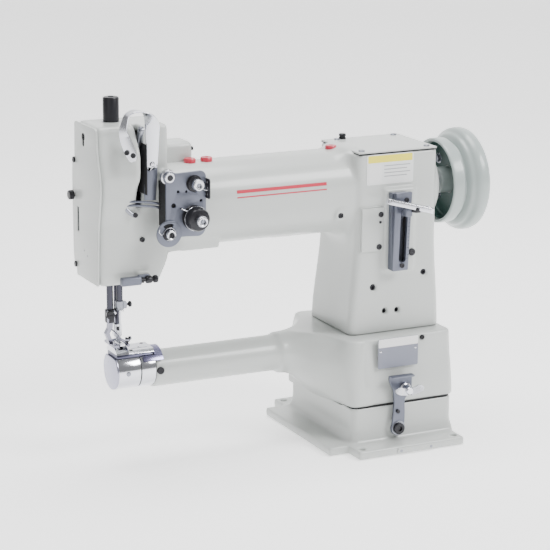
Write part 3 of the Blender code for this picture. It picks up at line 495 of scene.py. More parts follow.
def arm_field(P):
    x, y, z = P
    low = ramp(z, 120, 232, 1, 0)
    column = column_field(P, -40 - 9 * low, 59.5 + 3.5 * low, -45.5 - 4.5 * low, 45.5 + 3.0 * low, 122.4,
        320, 8, 2)
    barrel = column_field((y, z, x), -42, 42, 232.5, 320.5, -262, -20, 36, 4)
    field = join_fields(column, barrel, ramp(abs(y), 24, 41, 20, 2.5))
    field = join_fields(field, box_field(P, (-130, -12, 236), (-36, 20, 262), 10), 14)
    head = box_field(P, (-331, -35, 204), (-254, 25, 369), 5)
    bulge = box_field(P, (-331, 0, 215), (-266, 32, 329), 6)
    belly = ramp(abs(z - 305), 8, 42, 7.5, 0)
    front = box_field(P, (-331, -34 - belly, 212), (-290, 0, 366), 6)
    head = join_fields(join_fields(head, bulge, 4), front, 6)
    field = join_fields(field, head, 9)
    field = join_fields(field, box_field(P, (-254, -33, 232.5), (-196, 22, 262), 2), 2)
    rim = ramp(z, 292, 322, -36, -53) - ramp(z, 340, 367, 0, -14)
    slope = np.clip((-297 - x) / 18, 0, 1)
    boss = column_field(P, -315, -284.4, rim + 11 * slope, -20, 296 + 8 * slope, 366 - 12 * slope, 5, 5)
    field = join_fields(field, boss, 7)
    for px, pz in ((-262, 317), (-232, 258)):
        field = join_fields(field, rod_field(P, "Y", px, pz, -54.7, -20, 5), 3)
    field = join_fields(field, box_field(P, (-9, -50, 190), (30, -40, 282), 3), 3)
    field = join_fields(field, box_field(P, (-292, -40, 207), (-279, -30, 219), 2), 4)
    chamfer = (x + 254.2) * 0.908 - (z - 231) * 0.419
    field = np.where((x < -240) & (z < 233), np.maximum(field, chamfer), field)
    field = cut_fields(field, box_field(P, (-345, -29.5, 211), (-261, 19.5, 361), 2), 1)
    field = cut_fields(field, box_field(P, (-314, -12.5, 190), (-289.5, 12.5, 220), 2), 1)
    field = cut_fields(field, rod_field(P, "X", 0, SHAFT_Z, -262.5, 44, 34.5), 1)
    field = cut_fields(field, box_field(P, (-31, -38, 100), (47, 38, 313), 3), 1)
    field = cut_fields(field, box_field(P, (-24, -31, 300), (44, 31, 340), 3), 1)
    field = cut_fields(field, rod_field(P, "X", 0, SHAFT_Z, 40, 70, 14.3), 1)
    field = cut_fields(field, rod_field(P, "Z", REGULATOR_X, 0, 340, 380, 5.6), 1)
    field = cut_fields(field, box_field(P, (-291.8, -70, 285), (-284.6, -20, 376), 1), 1)
    field = cut_fields(field, box_field(P, (1.5, -60, 202), (14.5, -30, 263), 2), 1)
    for hx, hz, r in ((-20, 173.5, 3.6), (-6, 146, 3.2), (9.5, 145.5, 3.2), (43, 184.5, 3.4)):
        field = cut_fields(field, rod_field(P, "Y", hx, hz, -70, -42.5, r), 1.2)
    field = join_fields(field, rod_field(P, "Y", -58, 256, -43.5, -30, 6.4, 1.2), 4)
    field = cut_fields(field, rod_field(P, "Y", -58, 256, -70, -40.5, 3.4), 1)
    return field


surface("arm_casting_body", arm_field, (-334, -58, 120), (62, 52, 371), STEP, PAINT, HEAD, ["arm_casting"])


def bed_field(P):
    x, y, z = P
    upper = ramp(z, 48, 122, 0, 1)
    body = column_field(P, -58, 69.6 - 1.5 * upper, -75.5 + 6.5 * upper, 75.5 - 6.5 * upper, 48.3, 122.3, 9,
        3.5)
    tubes = rod_field(P, "X", 0, 100.25, -263.7, -40, 19.75, 0.6)
    near = np.clip((x + 112) / 60, 0, 1)
    spread = near * near * (3 - 2 * near)
    cone = np.sqrt((y / (19.75 + 46 * spread)) ** 2 + ((z - 99 + 13 * spread) / (19.75 + 27 * spread)) ** 2)
    cone = (cone - 1) * (19.75 + 11 * spread)
    cone = np.maximum(cone, np.maximum(x + 50, -112 - x))
    body = join_fields(body, cone, 18)
    body = join_fields(body, tubes, 12)
    body = np.maximum(body, 48.3 - z)
    body = np.maximum(body, z - ramp(x, -110, -84, 124.0, 122.35))
    body = join_fields(body, box_field(P, (-38, 60, 49), (46, 86, 57), 1.5), 4)
    body = join_fields(body, rod_field(P, "X", HINGE_Y, HINGE_Z, -38, 46, 7.5, 1), 3)
    body = cut_fields(body, box_field(P, (-47, -63, 30), (56, 63, 112), 8), 1)
    body = cut_fields(body, box_field(P, (-30, -37, 100), (47, 37, 140), 3), 1)
    body = cut_fields(body, rod_field(P, "X", 0, 102, -300, 0, 15.5), 1)
    body = cut_fields(body, rod_field(P, "X", HINGE_Y, HINGE_Z, -60, 70, 3.4), 0.5)
    body = cut_fields(body, rod_field(P, "Y", 1, 67, -90, -55, 3.6), 0.5)
    body = cut_fields(body, rod_field(P, "Y", 30.2, 117.3, -90, -60, 2.3), 0.6)
    return body


surface("bed_casting_body", bed_field, (-266, -80, 40), (72, 98, 128), STEP, PAINT, HEAD, ["bed_casting"])


def base_field(P):
    x, y, z = P
    plate = box_field(P, (-65, -106, 0), (65, 106, 9.4), 1.2)
    shelf = box_field(P, (-88, -80, 0), (0, 80, 9.4), 1.2)
    field = join_fields(plate, shelf, 1)
    flare = ramp(z, 8, 24, 2.5, 0)
    walls = column_field(P, -58 - flare, 66 + flare, -76.5 - 1.3 * flare, 76.5 + 1.3 * flare, 2, 47.7, 8, 1)
    field = join_fields(field, walls, 3)
    for lx in (-47.0, 55.0):
        ear = join_fields(box_field(P, (lx - 5, 70, 32), (lx + 5, 96, 47.2), 1.5),
            rod_field(P, "X", HINGE_Y, HINGE_Z, lx - 5, lx + 5, 8.2, 0.8), 2)
        field = join_fields(field, ear, 3)
    field = join_fields(field, rod_field(P, "Y", LATCH_X, LATCH_Z, -80.6, -60, 8.2, 0.8), 2)
    field = cut_fields(field, box_field(P, (-45, -62, -10), (53, 62, 70), 8), 1)
    for sx in (-57, 57):
        for sy in (-96, 96):
            field = cut_fields(field, rod_field(P, "Z", sx, sy, -5, 20, 3.75), 1)
    field = cut_fields(field, rod_field(P, "X", HINGE_Y, HINGE_Z, -60, 70, 3.4), 0.5)
    field = cut_fields(field, rod_field(P, "Y", LATCH_X, LATCH_Z, -90, -50, 4.1), 0.5)
    field = cut_fields(field, box_field(P, (-70, -50, 45.6), (-50, 35, 50), 0.5), 0.5)
    return np.maximum(field, -z)


surface("base_pedestal_body", base_field, (-90, -108, -1), (70, 108, 60), STEP, PAINT, BASE,
    ["base_pedestal"])

# ---------------------------------------------------------------- head covers

smooth_face = flat_path([(25.5, 212), (32, 217), (34.5, 240), (34.5, 300), (33, 324), (26.5, 331)], 5)
face_outline = ([(-33.5, 206.5), (-32.5, 205.3), (24, 205.3), (25.4, 206.8)] + smooth_face + [(25.3, 366.5),
    (23.5, 368.5), (-32.5, 368.6), (-34.8, 366.8)] + flat_path([(-35.5, 360), (-38, 338), (-43.5, 318),
    (-44.6, 305), (-42, 288), (-37.5, 265), (-35, 235), (-34, 212)], 6))
keyhole = arc(-1, 355.5, 3.6, -62, 242, 16) + [(-2.7, 347.5), (-1, 346.2), (0.7, 347.5)]
window = [(16, 253.5), (21.5, 253.5), (21.5, 279), (16, 279)]
cover = prism("face_cover_plate", face_outline, -334.0, -331.3, "YZ", PAINT, HEAD, 0.7,
    (keyhole[::-1], window[::-1]))
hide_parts("face_cover")
block("face_cover_gasket", (-331.6, -33.0, 207), (-331.1, 24.5, 366), DARK, HEAD, 0.1, 1)
# painted shade: dark sheet behind the sight window for the shade inside the head
block("sight_window_painted_shade_back", (-331.7, 14.5, 251), (-331.2, 23, 281), DARK, HEAD, 0.1, 1)
# painted shade: dark rim round the keyhole and a dark sheet behind it for the shade inside
keyhole_painted_shade = arc(-1, 355.5, 4.2, -58, 238, 16) + [(-3.4, 347.0), (-1, 345.4), (1.4, 347.0)]
prism("keyhole_painted_shade", keyhole_painted_shade, -334.05, -331.9, "YZ", DARK, HEAD, 0, (keyhole[::-1],))
prism("keyhole_painted_shade_back", keyhole_painted_shade, -332.9, -331.9, "YZ", DARK, HEAD)
# painted shade: dark sheet filling the sight window opening
prism("sight_window_painted_shade", [(15.4, 252.6), (22.1, 252.6), (22.1, 279.8), (15.4, 279.8)], -332.9, -331.9,
    "YZ", DARK, HEAD)
# painted shade: dark sheet inside the take-up slot for the shade in it
block("take_up_slot_painted_shade", (-285.4, -52.0, 300), (-284.9, -28.0, 352), DARK, HEAD, 0.1, 1)
for i, (y, z) in enumerate(((26.5, 327.5), (26.5, 216.5))):
    screw(f"face_cover_screw_{i + 1}", (-333.9, y, z), LEFT, 3.2, 1.8, HEAD, BLACK)
for i, (y, z) in enumerate(((2, 236), (-7, 232))):
    lathe(f"face_cover_dimple_{i + 1}", [(0, 0), (1.1, 0), (1.0, 0.25), (0, 0.3)], (-333.95, y, z), LEFT,
        GREY, HEAD, 16)
knob = lathe("face_cover_knob_turned", [(0, 0.3), (2.6, 0.3), (2.6, 1.2), (5, 1.4), (5, 5.6), (4.4, 6.3),
    (0, 6.5)], (-334.0, 29, 290), LEFT, BLACK, HEAD, 32)
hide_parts("face_cover_knob")
lid = block("top_cover_plate", (-38, -44.5, 320.9), (58, 44.5, 323.0), PAINT, HEAD, 0.8)
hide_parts("top_cover")
block("top_cover_gasket", (-37.6, -44.9, 320.1), (57.6, 44.9, 320.95), DARK, HEAD, 0.1, 1)
for i, (x, y) in enumerate(((-31, -37), (49, -37), (49, 37), (-22, 37))):
    screw(f"top_cover_screw_{i + 1}", (x, y, 322.9), UP, 3.4, 1.4, HEAD)


def linkage_shell():
    piece = block("linkage_cover_body", (-252, 3, 300), (-210, 34, 341), PAINT, HEAD, 6, 6)
    lower_sheet = block("linkage_cover_skirt", (-253.2, 1.8, 305), (-208.8, 35.0, 317.5), PAINT, HEAD, 1.5, 3)
    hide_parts("linkage_cover")
    for i, (x, y) in enumerate(((-211.5, 6.5), (-211.5, 30.5))):
        screw(f"linkage_cover_screw_{i + 1}", (x + 0.8, y, 333), (1, 0, 0.2), 2.2, 1.6, HEAD, BLACK)


linkage_shell()
side_cover = block("side_cover_body", (-35.5, -48.8, 214), (-5.4, -46.1, 262), PAINT, HEAD, 0.9)
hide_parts("side_cover_plate")
block("side_cover_seat", (-36.5, -46.3, 212.5), (-4.4, -44.5, 263.5), PAINT, HEAD, 0.6)
for i, (x, z, r) in enumerate(((-12.5, 254.4, 3.1), (-13.2, 246, 1.5), (-14.3, 218.8, 3.2))):
    screw(f"side_cover_screw_{i + 1}", (x, -48.4, z), FORE, r, 1.5, HEAD, BLACK, "socket"
        if r > 2 else "slot")

# plain name plate with a pale band, a grey band and two rivets
name_plate = prism("name_plate_sheet", round_rect(-28, 21.5, 89.5, 123.0, 1.6), -75.9, -75.0, "XZ",
    PLATE_PAINT, HEAD, 0.2)
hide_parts("name_plate")
prism("name_plate_upper_band", round_rect(-27.6, 21.1, 113.2, 122.6, 1.0), -76.05, -75.8, "XZ", WHITE, HEAD)
prism("name_plate_lower_band", round_rect(-27.6, 21.1, 90.0, 113.0, 1.0), -76.05, -75.8, "XZ", NAME, HEAD)
for i, (x, z) in enumerate(((-25, 108.8), (18, 108.8))):
    lathe(f"name_plate_rivet_{i + 1}", [(0, 0.9), (0.9, 0.7), (1.5, 0), (0, 0)], (x, -76.0, z), FORE,
        BRIGHT, HEAD, 16)

# plain label on the column, and two red pinstripes along the arm
prism("column_label_sheet", round_rect(-29, 28, 286.8, 319.6, 2), -45.95, -45.6, "XZ", LABEL, HEAD)
prism("column_label_band", round_rect(-27.6, 26.6, 310.8, 318.6, 1), -46.1, -45.85, "XZ", YELLOW, HEAD)
for i, z in enumerate((307.3, 303.5, 299.7, 295.9)):
    prism(f"column_label_bar_{i + 1}", round_rect(-8, 24 - 4 * (i % 2), z - 0.9, z, 0.3), -46.1, -45.85,
        "XZ", GREY, HEAD)
prism("column_label_panel", round_rect(-26, -11, 289, 308.6, 1), -46.1, -45.85, "XZ", WHITE, HEAD)


def stripe(name, x0, x1, z0, z1):
    """A painted line on the round of the arm."""

    def skin(z):
        return -6 - math.sqrt(36.25 ** 2 - max(0.0, z - 284.5) ** 2)

    def build(bm):
        rows = [z0 + (z1 - z0) * i / 4 for i in range(5)]
        outer = [[bm.verts.new((x, skin(z), z)) for z in rows] for x in (x0, x1)]
        inner = [[bm.verts.new((x, skin(z) + 0.5, z)) for z in rows] for x in (x0, x1)]
        for i in range(4):
            bm.faces.new((outer[0][i], outer[1][i], outer[1][i + 1], outer[0][i + 1]))
            bm.faces.new((inner[0][i], inner[1][i], inner[1][i + 1], inner[0][i + 1]))
            bm.faces.new((outer[0][i], outer[0][i + 1], inner[0][i + 1], inner[0][i]))
            bm.faces.new((outer[1][i], outer[1][i + 1], inner[1][i + 1], inner[1][i]))
        bm.faces.new((outer[0][0], outer[1][0], inner[1][0], inner[0][0]))
        bm.faces.new((outer[0][4], outer[1][4], inner[1][4], inner[0][4]))

    own(name, filled(build), RED, HEAD)


stripe("arm_stripe_upper", -180, -75, 290.6, 294.0)
stripe("arm_stripe_lower", -180, -75, 285.6, 287.0)

for i, x in enumerate((-217.5, -198.5, -49.0)):
    y = 0 if i == 2 else -4.5
    plug = lathe(f"oil_cap_moulded_{i + 1}", [(0, -1), (6.4, -1), (6.4, 3.2), (5.6, 4.4), (2.2, 4.6),
        (2.0, 4.0), (0, 4.0)], (x, y, 320.5), UP, RED, HEAD, 32)
    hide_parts(f"oil_cap_{i + 1}")
cap = lathe("vent_cap_turned", [(0, 0), (4, 0.2), (4, 2), (3.4, 2.4), (3.4, 3.2), (4, 3.6), (4, 5.4),
    (3.3, 6.2), (0, 6.2)], (-15, 38, 322.9), UP, BLACK, HEAD, 32)
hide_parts("vent_cap")

# ---------------------------------------------------------------- take-up guard, lever and regulator


def strip(name, stations, thick, mat, body, steps=6):
    """A bent band through (place, width direction, half width) stations."""
    path = smooth_path([s[0] for s in stations], steps)
    wides = smooth_path([s[1] for s in stations], steps)
    halves = smooth_path([(s[2], 0, 0) for s in stations], steps)

    def build(bm):
        rings = []
        for i, at in enumerate(path):
            ahead = (path[min(i + 1, len(path) - 1)] - path[max(i - 1, 0)]).normalized()
            wide = (wides[i] - ahead * wides[i].dot(ahead)).normalized()
            out = ahead.cross(wide).normalized() * thick / 2
            half = halves[i].x
            ring = []
            for u, v in ((1, 0.4), (0.93, 1), (-0.93, 1), (-1, 0.4), (-1, -0.4), (-0.93, -1), (0.93, -1),
                (1, -0.4)):
                ring.append(bm.verts.new(at + wide * half * u + out * v))
            rings.append(ring)
        for a, b in zip(rings, rings[1:]):
            for i in range(8):
                j = (i + 1) % 8
                bm.faces.new((a[i], a[j], b[j], b[i]))
        bm.faces.new(rings[0])
        bm.faces.new(rings[-1])

    return own(name, filled(build), mat, body, sharp=50)


guard = strip("take_up_guard_band", (((-300.0, -53.0, 336.5), (0.87, -0.49, 0), 2.6),
    ((-300.8, -52.7, 339.0), (0.87, -0.49, 0), 4.6), ((-303.5, -51.5, 347.0), (0.87, -0.49, 0), 5.8),
    ((-307.5, -49.7, 359.0), (0.83, -0.55, 0), 5.6), ((-309.3, -49.0, 367.0), (0.75, -0.66, 0), 4.4),
    ((-307.5, -49.0, 376.0), (0.5, -0.86, 0), 4.0), ((-304.5, -50.0, 383.6), (0.2, -0.98, 0), 4.6),
    ((-296.5, -51.0, 387.0), (0.1, -1, 0), 6.2), ((-285.0, -51.0, 384.2), (0.3, -0.95, 0), 7.2),
    ((-279.0, -50.0, 374.5), (0.7, -0.7, 0), 7.6), ((-277.3, -48.2, 360.0), (1, -0.1, 0), 7.2),
    ((-277.6, -46.8, 331.0), RIGHT, 6.4), ((-277.8, -46.6, 327.5), RIGHT, 5.2)), 1.5, BRIGHT, HEAD)
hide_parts("take_up_guard")
# painted shade: the lower leg of the same guard is given the darker plate finish
strip("take_up_guard_lower_strip_painted_shade", (((-277.6, -45.3, 335.5), RIGHT, 5.6),
    ((-277.6, -45.2, 325.0), RIGHT, 6.6), ((-278.6, -45.0, 310.0), RIGHT, 6.8),
    ((-279.4, -44.8, 293.5), RIGHT, 6.2)), 1.4, PLATE, HEAD)
lathe("guard_rivet", [(0, 1.6), (1.8, 1.3), (2.9, 0.2), (2.9, -2.4), (0, -2.4)], (-277.6, -47.4, 331), FORE,
    BRIGHT, HEAD, 24)
for i, at in enumerate(((-306.2, -50.9, 345.5), (-300.6, -53.8, 342.6))):
    screw(f"guard_screw_{i + 1}", at, (-0.49, -0.87, 0), 2.7, 1.6, HEAD, BLACK, "socket")


def take_up():
    tip = Vector((-45.0, 366.0))
    base = Vector((-19.0, 322.0))
    along = (tip - base).normalized()
    side = Vector((along.y, -along.x))
    left = [base + side * 6 + along * 2, base + side * 4.2 + along * 18, tip + side * 3.2 - along * 5]
    right_side = [tip - side * 3.2 - along * 5, base - side * 4.2 + along * 18, base - side * 6 + along * 2]
    angle = math.degrees(math.atan2(along.y, along.x))
    outline = ([tuple(p) for p in left] + arc(*tip, 4.2, angle - 80, angle + 80, 12)
        + [tuple(p) for p in right_side] + arc(*base, 8, angle + 70, angle + 290, 18))
    lever = prism("take_up_lever_arm", outline, -290.4, -286.4, "YZ", STEEL, "take_up", 0.6,
        (circle(*tip, 1.5, 16)[::-1], circle(*base, 2.5, 20)[::-1]))
    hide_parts("take_up_lever")


take_up()
lathe("take_up_pivot_stud", [(0, -6), (2.4, -6), (2.4, 0.4), (4, 0.4), (4, 2.2), (3.4, 2.8), (0, 2.8)],
    (-286.4, -19, 322), RIGHT, STEEL, HEAD, 24)
regulator = lathe("pressure_regulator_turned", [(0, 362), (4.9, 362), (4.9, 369.3), (8.4, 369.6),
    (8.4, 393.4), (7.8, 394.6), (6.6, 395.0), (3.2, 395.0), (2.8, 391.5), (0, 391.5)], (REGULATOR_X, 0, 0),
    UP, BLACK, "pressure_knob", 64)
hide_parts("pressure_regulator")
lathe("regulator_lock_ring", [(5.4, 368.7), (9.6, 368.7), (9.8, 369.0), (9.8, 369.3), (5.4, 369.4)],
    (REGULATOR_X, 0, 0), UP, STEEL, HEAD, 48)

# ---------------------------------------------------------------- tension plate

tension_outline = (arc(-229.0, 315.5, 6.6, 0, 90, 8) + [(-255, 321.3)]
    + arc(-262.5, 317.2, 5.8, 60, 190, 10) + [(-267.0, 311), (-267.0, 264)]
    + arc(-262.5, 261, 6.5, 185, 262, 6) + [(-245, 254.6)] + arc(-231.8, 262.8, 9.0, 262, 350, 8)
    + [(-222.4, 272)])
small_holes = ((-253.5, 302, 1.5), (-244.5, 301.6, 1.1), (-234.5, 301, 1.1), (-258.5, 288, 2.5),
    (-250, 284.2, 1.1), (-228.2, 291, 1.3))
tension = prism("tension_plate_sheet", tension_outline, TY - 2.6, TY, "XZ", PLATE, HEAD, 0.5,
    [circle(x, z, r, 20)[::-1] for x, z, r in small_holes])
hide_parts("tension_plate")
# painted shade: dark sheet behind the plate's holes
block("tension_plate_painted_shade_back", (-262, TY, 281), (-226, TY + 0.4, 305), DARK, HEAD, 0.1, 1)
# painted shadow: dark block in the gap between the head and the tension plate
block("tension_plate_painted_shadow", (-266.4, TY + 0.3, 264), (-258.0, -36.0, 311), DARK, HEAD, 0.8, 2)
FRONT = TY - 2.9
lathe("tension_plate_collar", [(5.2, 0), (7.6, 0), (7.8, 0.6), (7.8, 4.4), (7.0, 5.2), (5.2, 5.2)],
    (-262.8, TY + 5.4, 317.4), FORE, BRIGHT, HEAD, 40)
screw("tension_plate_screw", (-262.8, TY - 2.5, 317.4), FORE, 5.4, 1.6, HEAD, BRIGHT, "socket")
lathe("tension_plate_screw_core", [(0, 0), (3.2, 0), (3.2, 0.3), (0, 0.4)], (-262.8, TY - 4.1, 317.4), FORE,
    BLACK, HEAD, 20)


def turned_set(name, origin, profile, mat, body, replaced, sides=56):
    piece = lathe(name, profile, origin, FORE, mat, body, sides)
    if replaced:
        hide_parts(replaced)
    return piece


def fluted(name, origin, radius, low, high, mat, body, replaced=None, count=28, depth=0.35, bore=2.4,
    dish=2.0):
    """A knurled nut with a dished, bored end."""

    def build(bm):
        sides = count * 4
        rows = ((radius * 0.55, low, 0), (radius - 0.5, low, 0), (radius, low + 0.6, 1),
            (radius, high - 0.9, 1), (radius - 0.7, high, 0), (bore + 1.2, high + 0.2, 0),
            (bore, high - 0.3, 0), (bore - 0.3, high - dish, 0))
        rings = []
        for r, h, cut_in in rows:
            ring = []
            for i in range(sides):
                a = 2 * math.pi * i / sides
                ring.append(bm.verts.new(((r - cut_in * depth * (i % 4 in (0, 1))) * math.cos(a),
                    (r - cut_in * depth * (i % 4 in (0, 1))) * math.sin(a), h)))
            rings.append(ring)
        for a, b in zip(rings, rings[1:]):
            for i in range(sides):
                j = (i + 1) % sides
                bm.faces.new((a[i], a[j], b[j], b[i]))
        bm.faces.new(rings[0])
        bm.faces.new(rings[-1])

    mesh = filled(build)
    mesh.transform(axis_frame(origin, FORE))
    piece = own(name, mesh, mat, body)
    if replaced:
        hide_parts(replaced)
    return piece


pre = (PRE_X, FRONT, PRE_Z)
turned_set("pretension_base_disc", pre, [(0, 0), (8.6, 0), (8.8, 0.5), (8.2, 1.0), (5, 1.2), (5, 1.8),
    (7.6, 2.4), (7.7, 3.8), (6.2, 4.2), (0, 4.2)], BLACK, HEAD, "pretension_disc")
fluted("pretension_nut_knurled", (PRE_X, FRONT - 4.5, PRE_Z), 6.0, 0, 9.0, BRIGHT, "pretension_knob",
    "pretension_nut", 20, 0.25, 2.6, 2.4)
lathe("pretension_stud", [(0, 0), (1.9, 0), (1.9, 1.2), (1.4, 1.8), (0, 1.8)], (PRE_X, FRONT - 11.3, PRE_Z),
    FORE, STEEL, HEAD, 20)
main = (MAIN_X, FRONT, MAIN_Z)
turned_set("main_tension_base", main, [(0, 0), (12.6, 0), (12.9, 0.6), (12.2, 1.6), (8, 2.0), (8, 2.7),
    (12.0, 3.2), (12.3, 3.6), (12.3, 4.3), (8.6, 4.9), (8.6, 5.4), (12.1, 6.4), (12.6, 7.2), (12.2, 8.2),
    (12.2, 13.0), (11.0, 15.2), (9, 16.0), (0, 16.0)], BLACK, "main_tension_disc", "main_tension_drum", 72)
turned_set("main_tension_bright_ring", (MAIN_X, FRONT - 6.3, MAIN_Z),
    [(9, 0), (12.8, 0), (13.0, 0.35), (12.8, 0.7), (9, 0.7)], BRIGHT, "main_tension_disc", None, 72)
fluted("main_tension_nut_knurled", (MAIN_X, FRONT - 16.3, MAIN_Z), 5.8, 0, 7.7, BRIGHT, "main_tension_knob",
    "main_tension_nut", 24, 0.2, 3.0, 2.8)
lathe("main_tension_stud", [(0, 0), (2.2, 0), (2.2, 1.4), (1.6, 2.0), (0, 2.0)],
    (MAIN_X, FRONT - 21.6, MAIN_Z), FORE, STEEL, HEAD, 20)


def check_disc():
    ring = circle(SPRING_X, SPRING_Z, 13.8, 56)
    slot_points = (arc(SPRING_X, SPRING_Z, 10.6, 62, 128, 10) + arc(SPRING_X, SPRING_Z, 6.8, 128, 62, 10))
    piece = prism("check_spring_disc_plate", ring, FRONT - 1.9, FRONT, "XZ", PLATE, "check_spring_group",
        0.35, (slot_points[::-1],))
    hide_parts("check_spring_disc")
    # painted shade: dark sheet behind the disc's slot
    block("check_spring_disc_painted_shade", (-271, FRONT - 0.1, 265), (-258, FRONT + 0.2, 271), DARK,
        "check_spring_group", 0.05, 1)


check_disc()
lathe("check_spring_washer", [(0, 0), (7.2, 0), (7.4, 0.5), (7.0, 1.2), (0, 1.2)],
    (SPRING_X, FRONT - 1.9, SPRING_Z), FORE, BLACK, "check_spring_group", 32)
coil = []
for i in range(3 * 20 + 1):
    a = 2 * math.pi * i / 20 + 2.5
    coil.append((SPRING_X + 6.6 * math.cos(a), FRONT - 1.4 - 0.028 * i, SPRING_Z + 6.6 * math.sin(a)))
coil += [(-273.5, FRONT - 3.4, 259.0), (-276.5, FRONT - 3.6, 262.5), (-276.0, FRONT - 3.7, 265.5)]
tube("check_spring_wire", coil, 0.45, BRIGHT, "check_spring_group", 3)
fluted("check_spring_nut_turned", (SPRING_X, FRONT - 3.1, SPRING_Z), 5.4, 0, 5.6, BRIGHT,
    "check_spring_group", "check_spring_nut", 12, 0.35, 3.2, 2.4)
screw("check_spring_stud", (SPRING_X, FRONT - 5.4, SPRING_Z), FORE, 2.8, 1.6, HEAD, BLACK)
guide = prism("thread_guide_sheet", round_rect(TY - 10.5, TY + 0.5, 293, 314, 2.5), -222.6, -221.0, "YZ",
    BLACK, HEAD, 0.3, [circle(TY - 5, z, 1.8, 20)[::-1] for z in (297.0, 303.5, 310.0)])
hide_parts("thread_guide_plate")
for i, z in enumerate((297.0, 303.5, 310.0)):
    bpy.ops.mesh.primitive_torus_add(major_radius=2.0, minor_radius=0.45, major_segments=24,
        minor_segments=8)
    ring = bpy.context.object
    mesh = ring.data.copy()
    bpy.data.objects.remove(ring)
    mesh.transform(axis_frame((-221.0, TY - 5, z), RIGHT))
    own(f"thread_guide_eyelet_{i + 1}", mesh, BRIGHT, HEAD)
tube("pretension_wire", smooth_path([(-231, FRONT - 3, 306), (-228, FRONT - 4, 303.5),
    (-225, FRONT - 5, 302.5), (-222, FRONT - 5, 302)], 4), 0.5, BRIGHT, HEAD, 3)
tube("main_tension_wire", smooth_path([(-249.8, TY - 2.4, 284), (-247, TY - 5, 282.6),
    (-243, TY - 9.5, 281.4), (-240, TY - 12.6, 280.4)], 4), 0.55, BRIGHT, HEAD, 3)

# ---------------------------------------------------------------- guides on the head

guide_body = prism("head_thread_guide_plate", [(-308, 285), (-307, 284), (-294, 284), (-293, 285),
    (-293, 292.5), (-294.5, 294), (-306.5, 294), (-308, 292.5)], -38.0, -35.2, "XZ", STEEL, HEAD, 0.4)
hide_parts("head_thread_guide")
for i, z in enumerate((291.5, 287.5)):
    tube(f"head_guide_wire_{i + 1}", smooth_path([(-306, -37.6, z), (-298, -40.5, z + 1), (-285, -43.2, z),
        (-272, -44.3, z - 2.2), (-269.3, -43.4, z - 3.2)], 5), 1.3, PLATE, HEAD, 4)
tube("head_guide_lower_arm", smooth_path([(-303, -38, 285), (-299, -39.5, 280.5), (-294.5, -40.3, 277.5)],
    5), 2.3, STEEL, HEAD, 4)
screw("head_guide_screw", (-294.5, -41.6, 278.5), FORE, 2.7, 1.8, HEAD, BLACK)
screw("head_guide_mount_screw", (-300.5, -37.9, 289.2), FORE, 2.6, 1.6, HEAD)
screw("head_front_screw", (-284.5, -35.2, 250.5), FORE, 2.7, 1.8, HEAD, BLACK, "socket")
bracket = block("edge_guide_bracket_bar", (-312, -48.5, 206), (-290.5, -40.4, 214.5), PLATE, HEAD, 1.3)
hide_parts("edge_guide_bracket")
block("edge_guide_bracket_foot", (-292.6, -43.5, 208.5), (-279.5, -40.1, 215.5), PLATE, HEAD, 0.8)
thumb = lathe("guide_thumb_screw_turned", [(0, -311.9), (1.7, -311.9), (1.7, -290.2), (3.0, -290.2),
    (3.0, -287.6), (2.0, -287.2), (2.0, -285.0), (3.6, -284.6), (4, -283.4), (4, -279.6), (3.4, -278.5),
    (1.9, -278.0), (1.9, -277.0), (3.4, -276.5), (4, -275.5), (4, -272.8), (3.2, -272.0), (0, -272.0)],
    (0, -44.7, 210.2), RIGHT, BLACK, "edge_guide_knob", 40)
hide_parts("guide_thumb_screw")

# ---------------------------------------------------------------- needle bar, feet

DARKSTEEL = material("dark_steel", (0.06, 0.06, 0.075), 0.28, 1.0, bump=0.05, scale=900)
FOOT = material("foot_steel", (0.26, 0.26, 0.32), 0.22, 1.0)
for shown in ("needle_bar", "presser_bar", "inner_foot_bar"):
    nodes[shown].data.materials.clear()
    nodes[shown].data.materials.append(DARKSTEEL)
    nodes[shown].data.shade_smooth()
rounded(nodes["needle_clamp"], 0.3, 2)
tube("needle_clamp_thread_eye", smooth_path([(NX - 1, NY - 4.4, 172.5), (NX - 0.5, NY - 6.2, 170.5),
    (NX + 1.3, NY - 6.4, 169.4), (NX + 1.6, NY - 5.2, 171), (NX + 0.8, NY - 4.4, 172.5)], 5), 0.4, BRIGHT,
    "needle_bar_group", 3)
clamp_screw = lathe("needle_clamp_thumb_screw", [(0, 6.6), (1.3, 6.6), (1.3, 9.4), (2.6, 9.8), (3.2, 10.4),
    (3.2, 12.2), (2.6, 12.7), (0, 12.7)], (NX, NY, 175), RIGHT, BLACK, "needle_bar_group", 28)
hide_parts("needle_clamp_screw")
needle = lathe("needle_ground", [(0, 134.5), (0.2, 135.5), (0.5, 138), (0.8, 141), (0.8, 156), (1.2, 161),
    (1.2, 172), (0, 172)], (NX, NY, 0), UP, BRIGHT, "needle_bar_group", 20)
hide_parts("needle")
for shown, finish in (("outer_foot", FOOT), ("inner_foot", BRIGHT)):
    rounded(nodes[shown], 0.35, 2, 25)
    nodes[shown].data.materials.clear()
    nodes[shown].data.materials.append(finish)
lathe("outer_foot_collar", [(3.6, 156.4), (4.9, 156.6), (5.3, 157.4), (5.3, 169.8), (5.0, 170.6),
    (3.6, 170.8)], (PX, 0, 0), UP, BLACK, "presser_group", 40)
screw("outer_foot_screw", (PX - 1.5, -4.6, 166), (-0.25, -1, 0), 4.6, 4.2, "presser_group", BLACK)
screw("outer_foot_collar_screw", (PX + 2.6, -5.0, 167.4), (0.2, -1, 0), 1.9, 1.8, "presser_group", BRIGHT)
screw("inner_foot_screw", (NX, 1.4, 148), FORE, 2.2, 1.5, "inner_foot_group", BLACK)
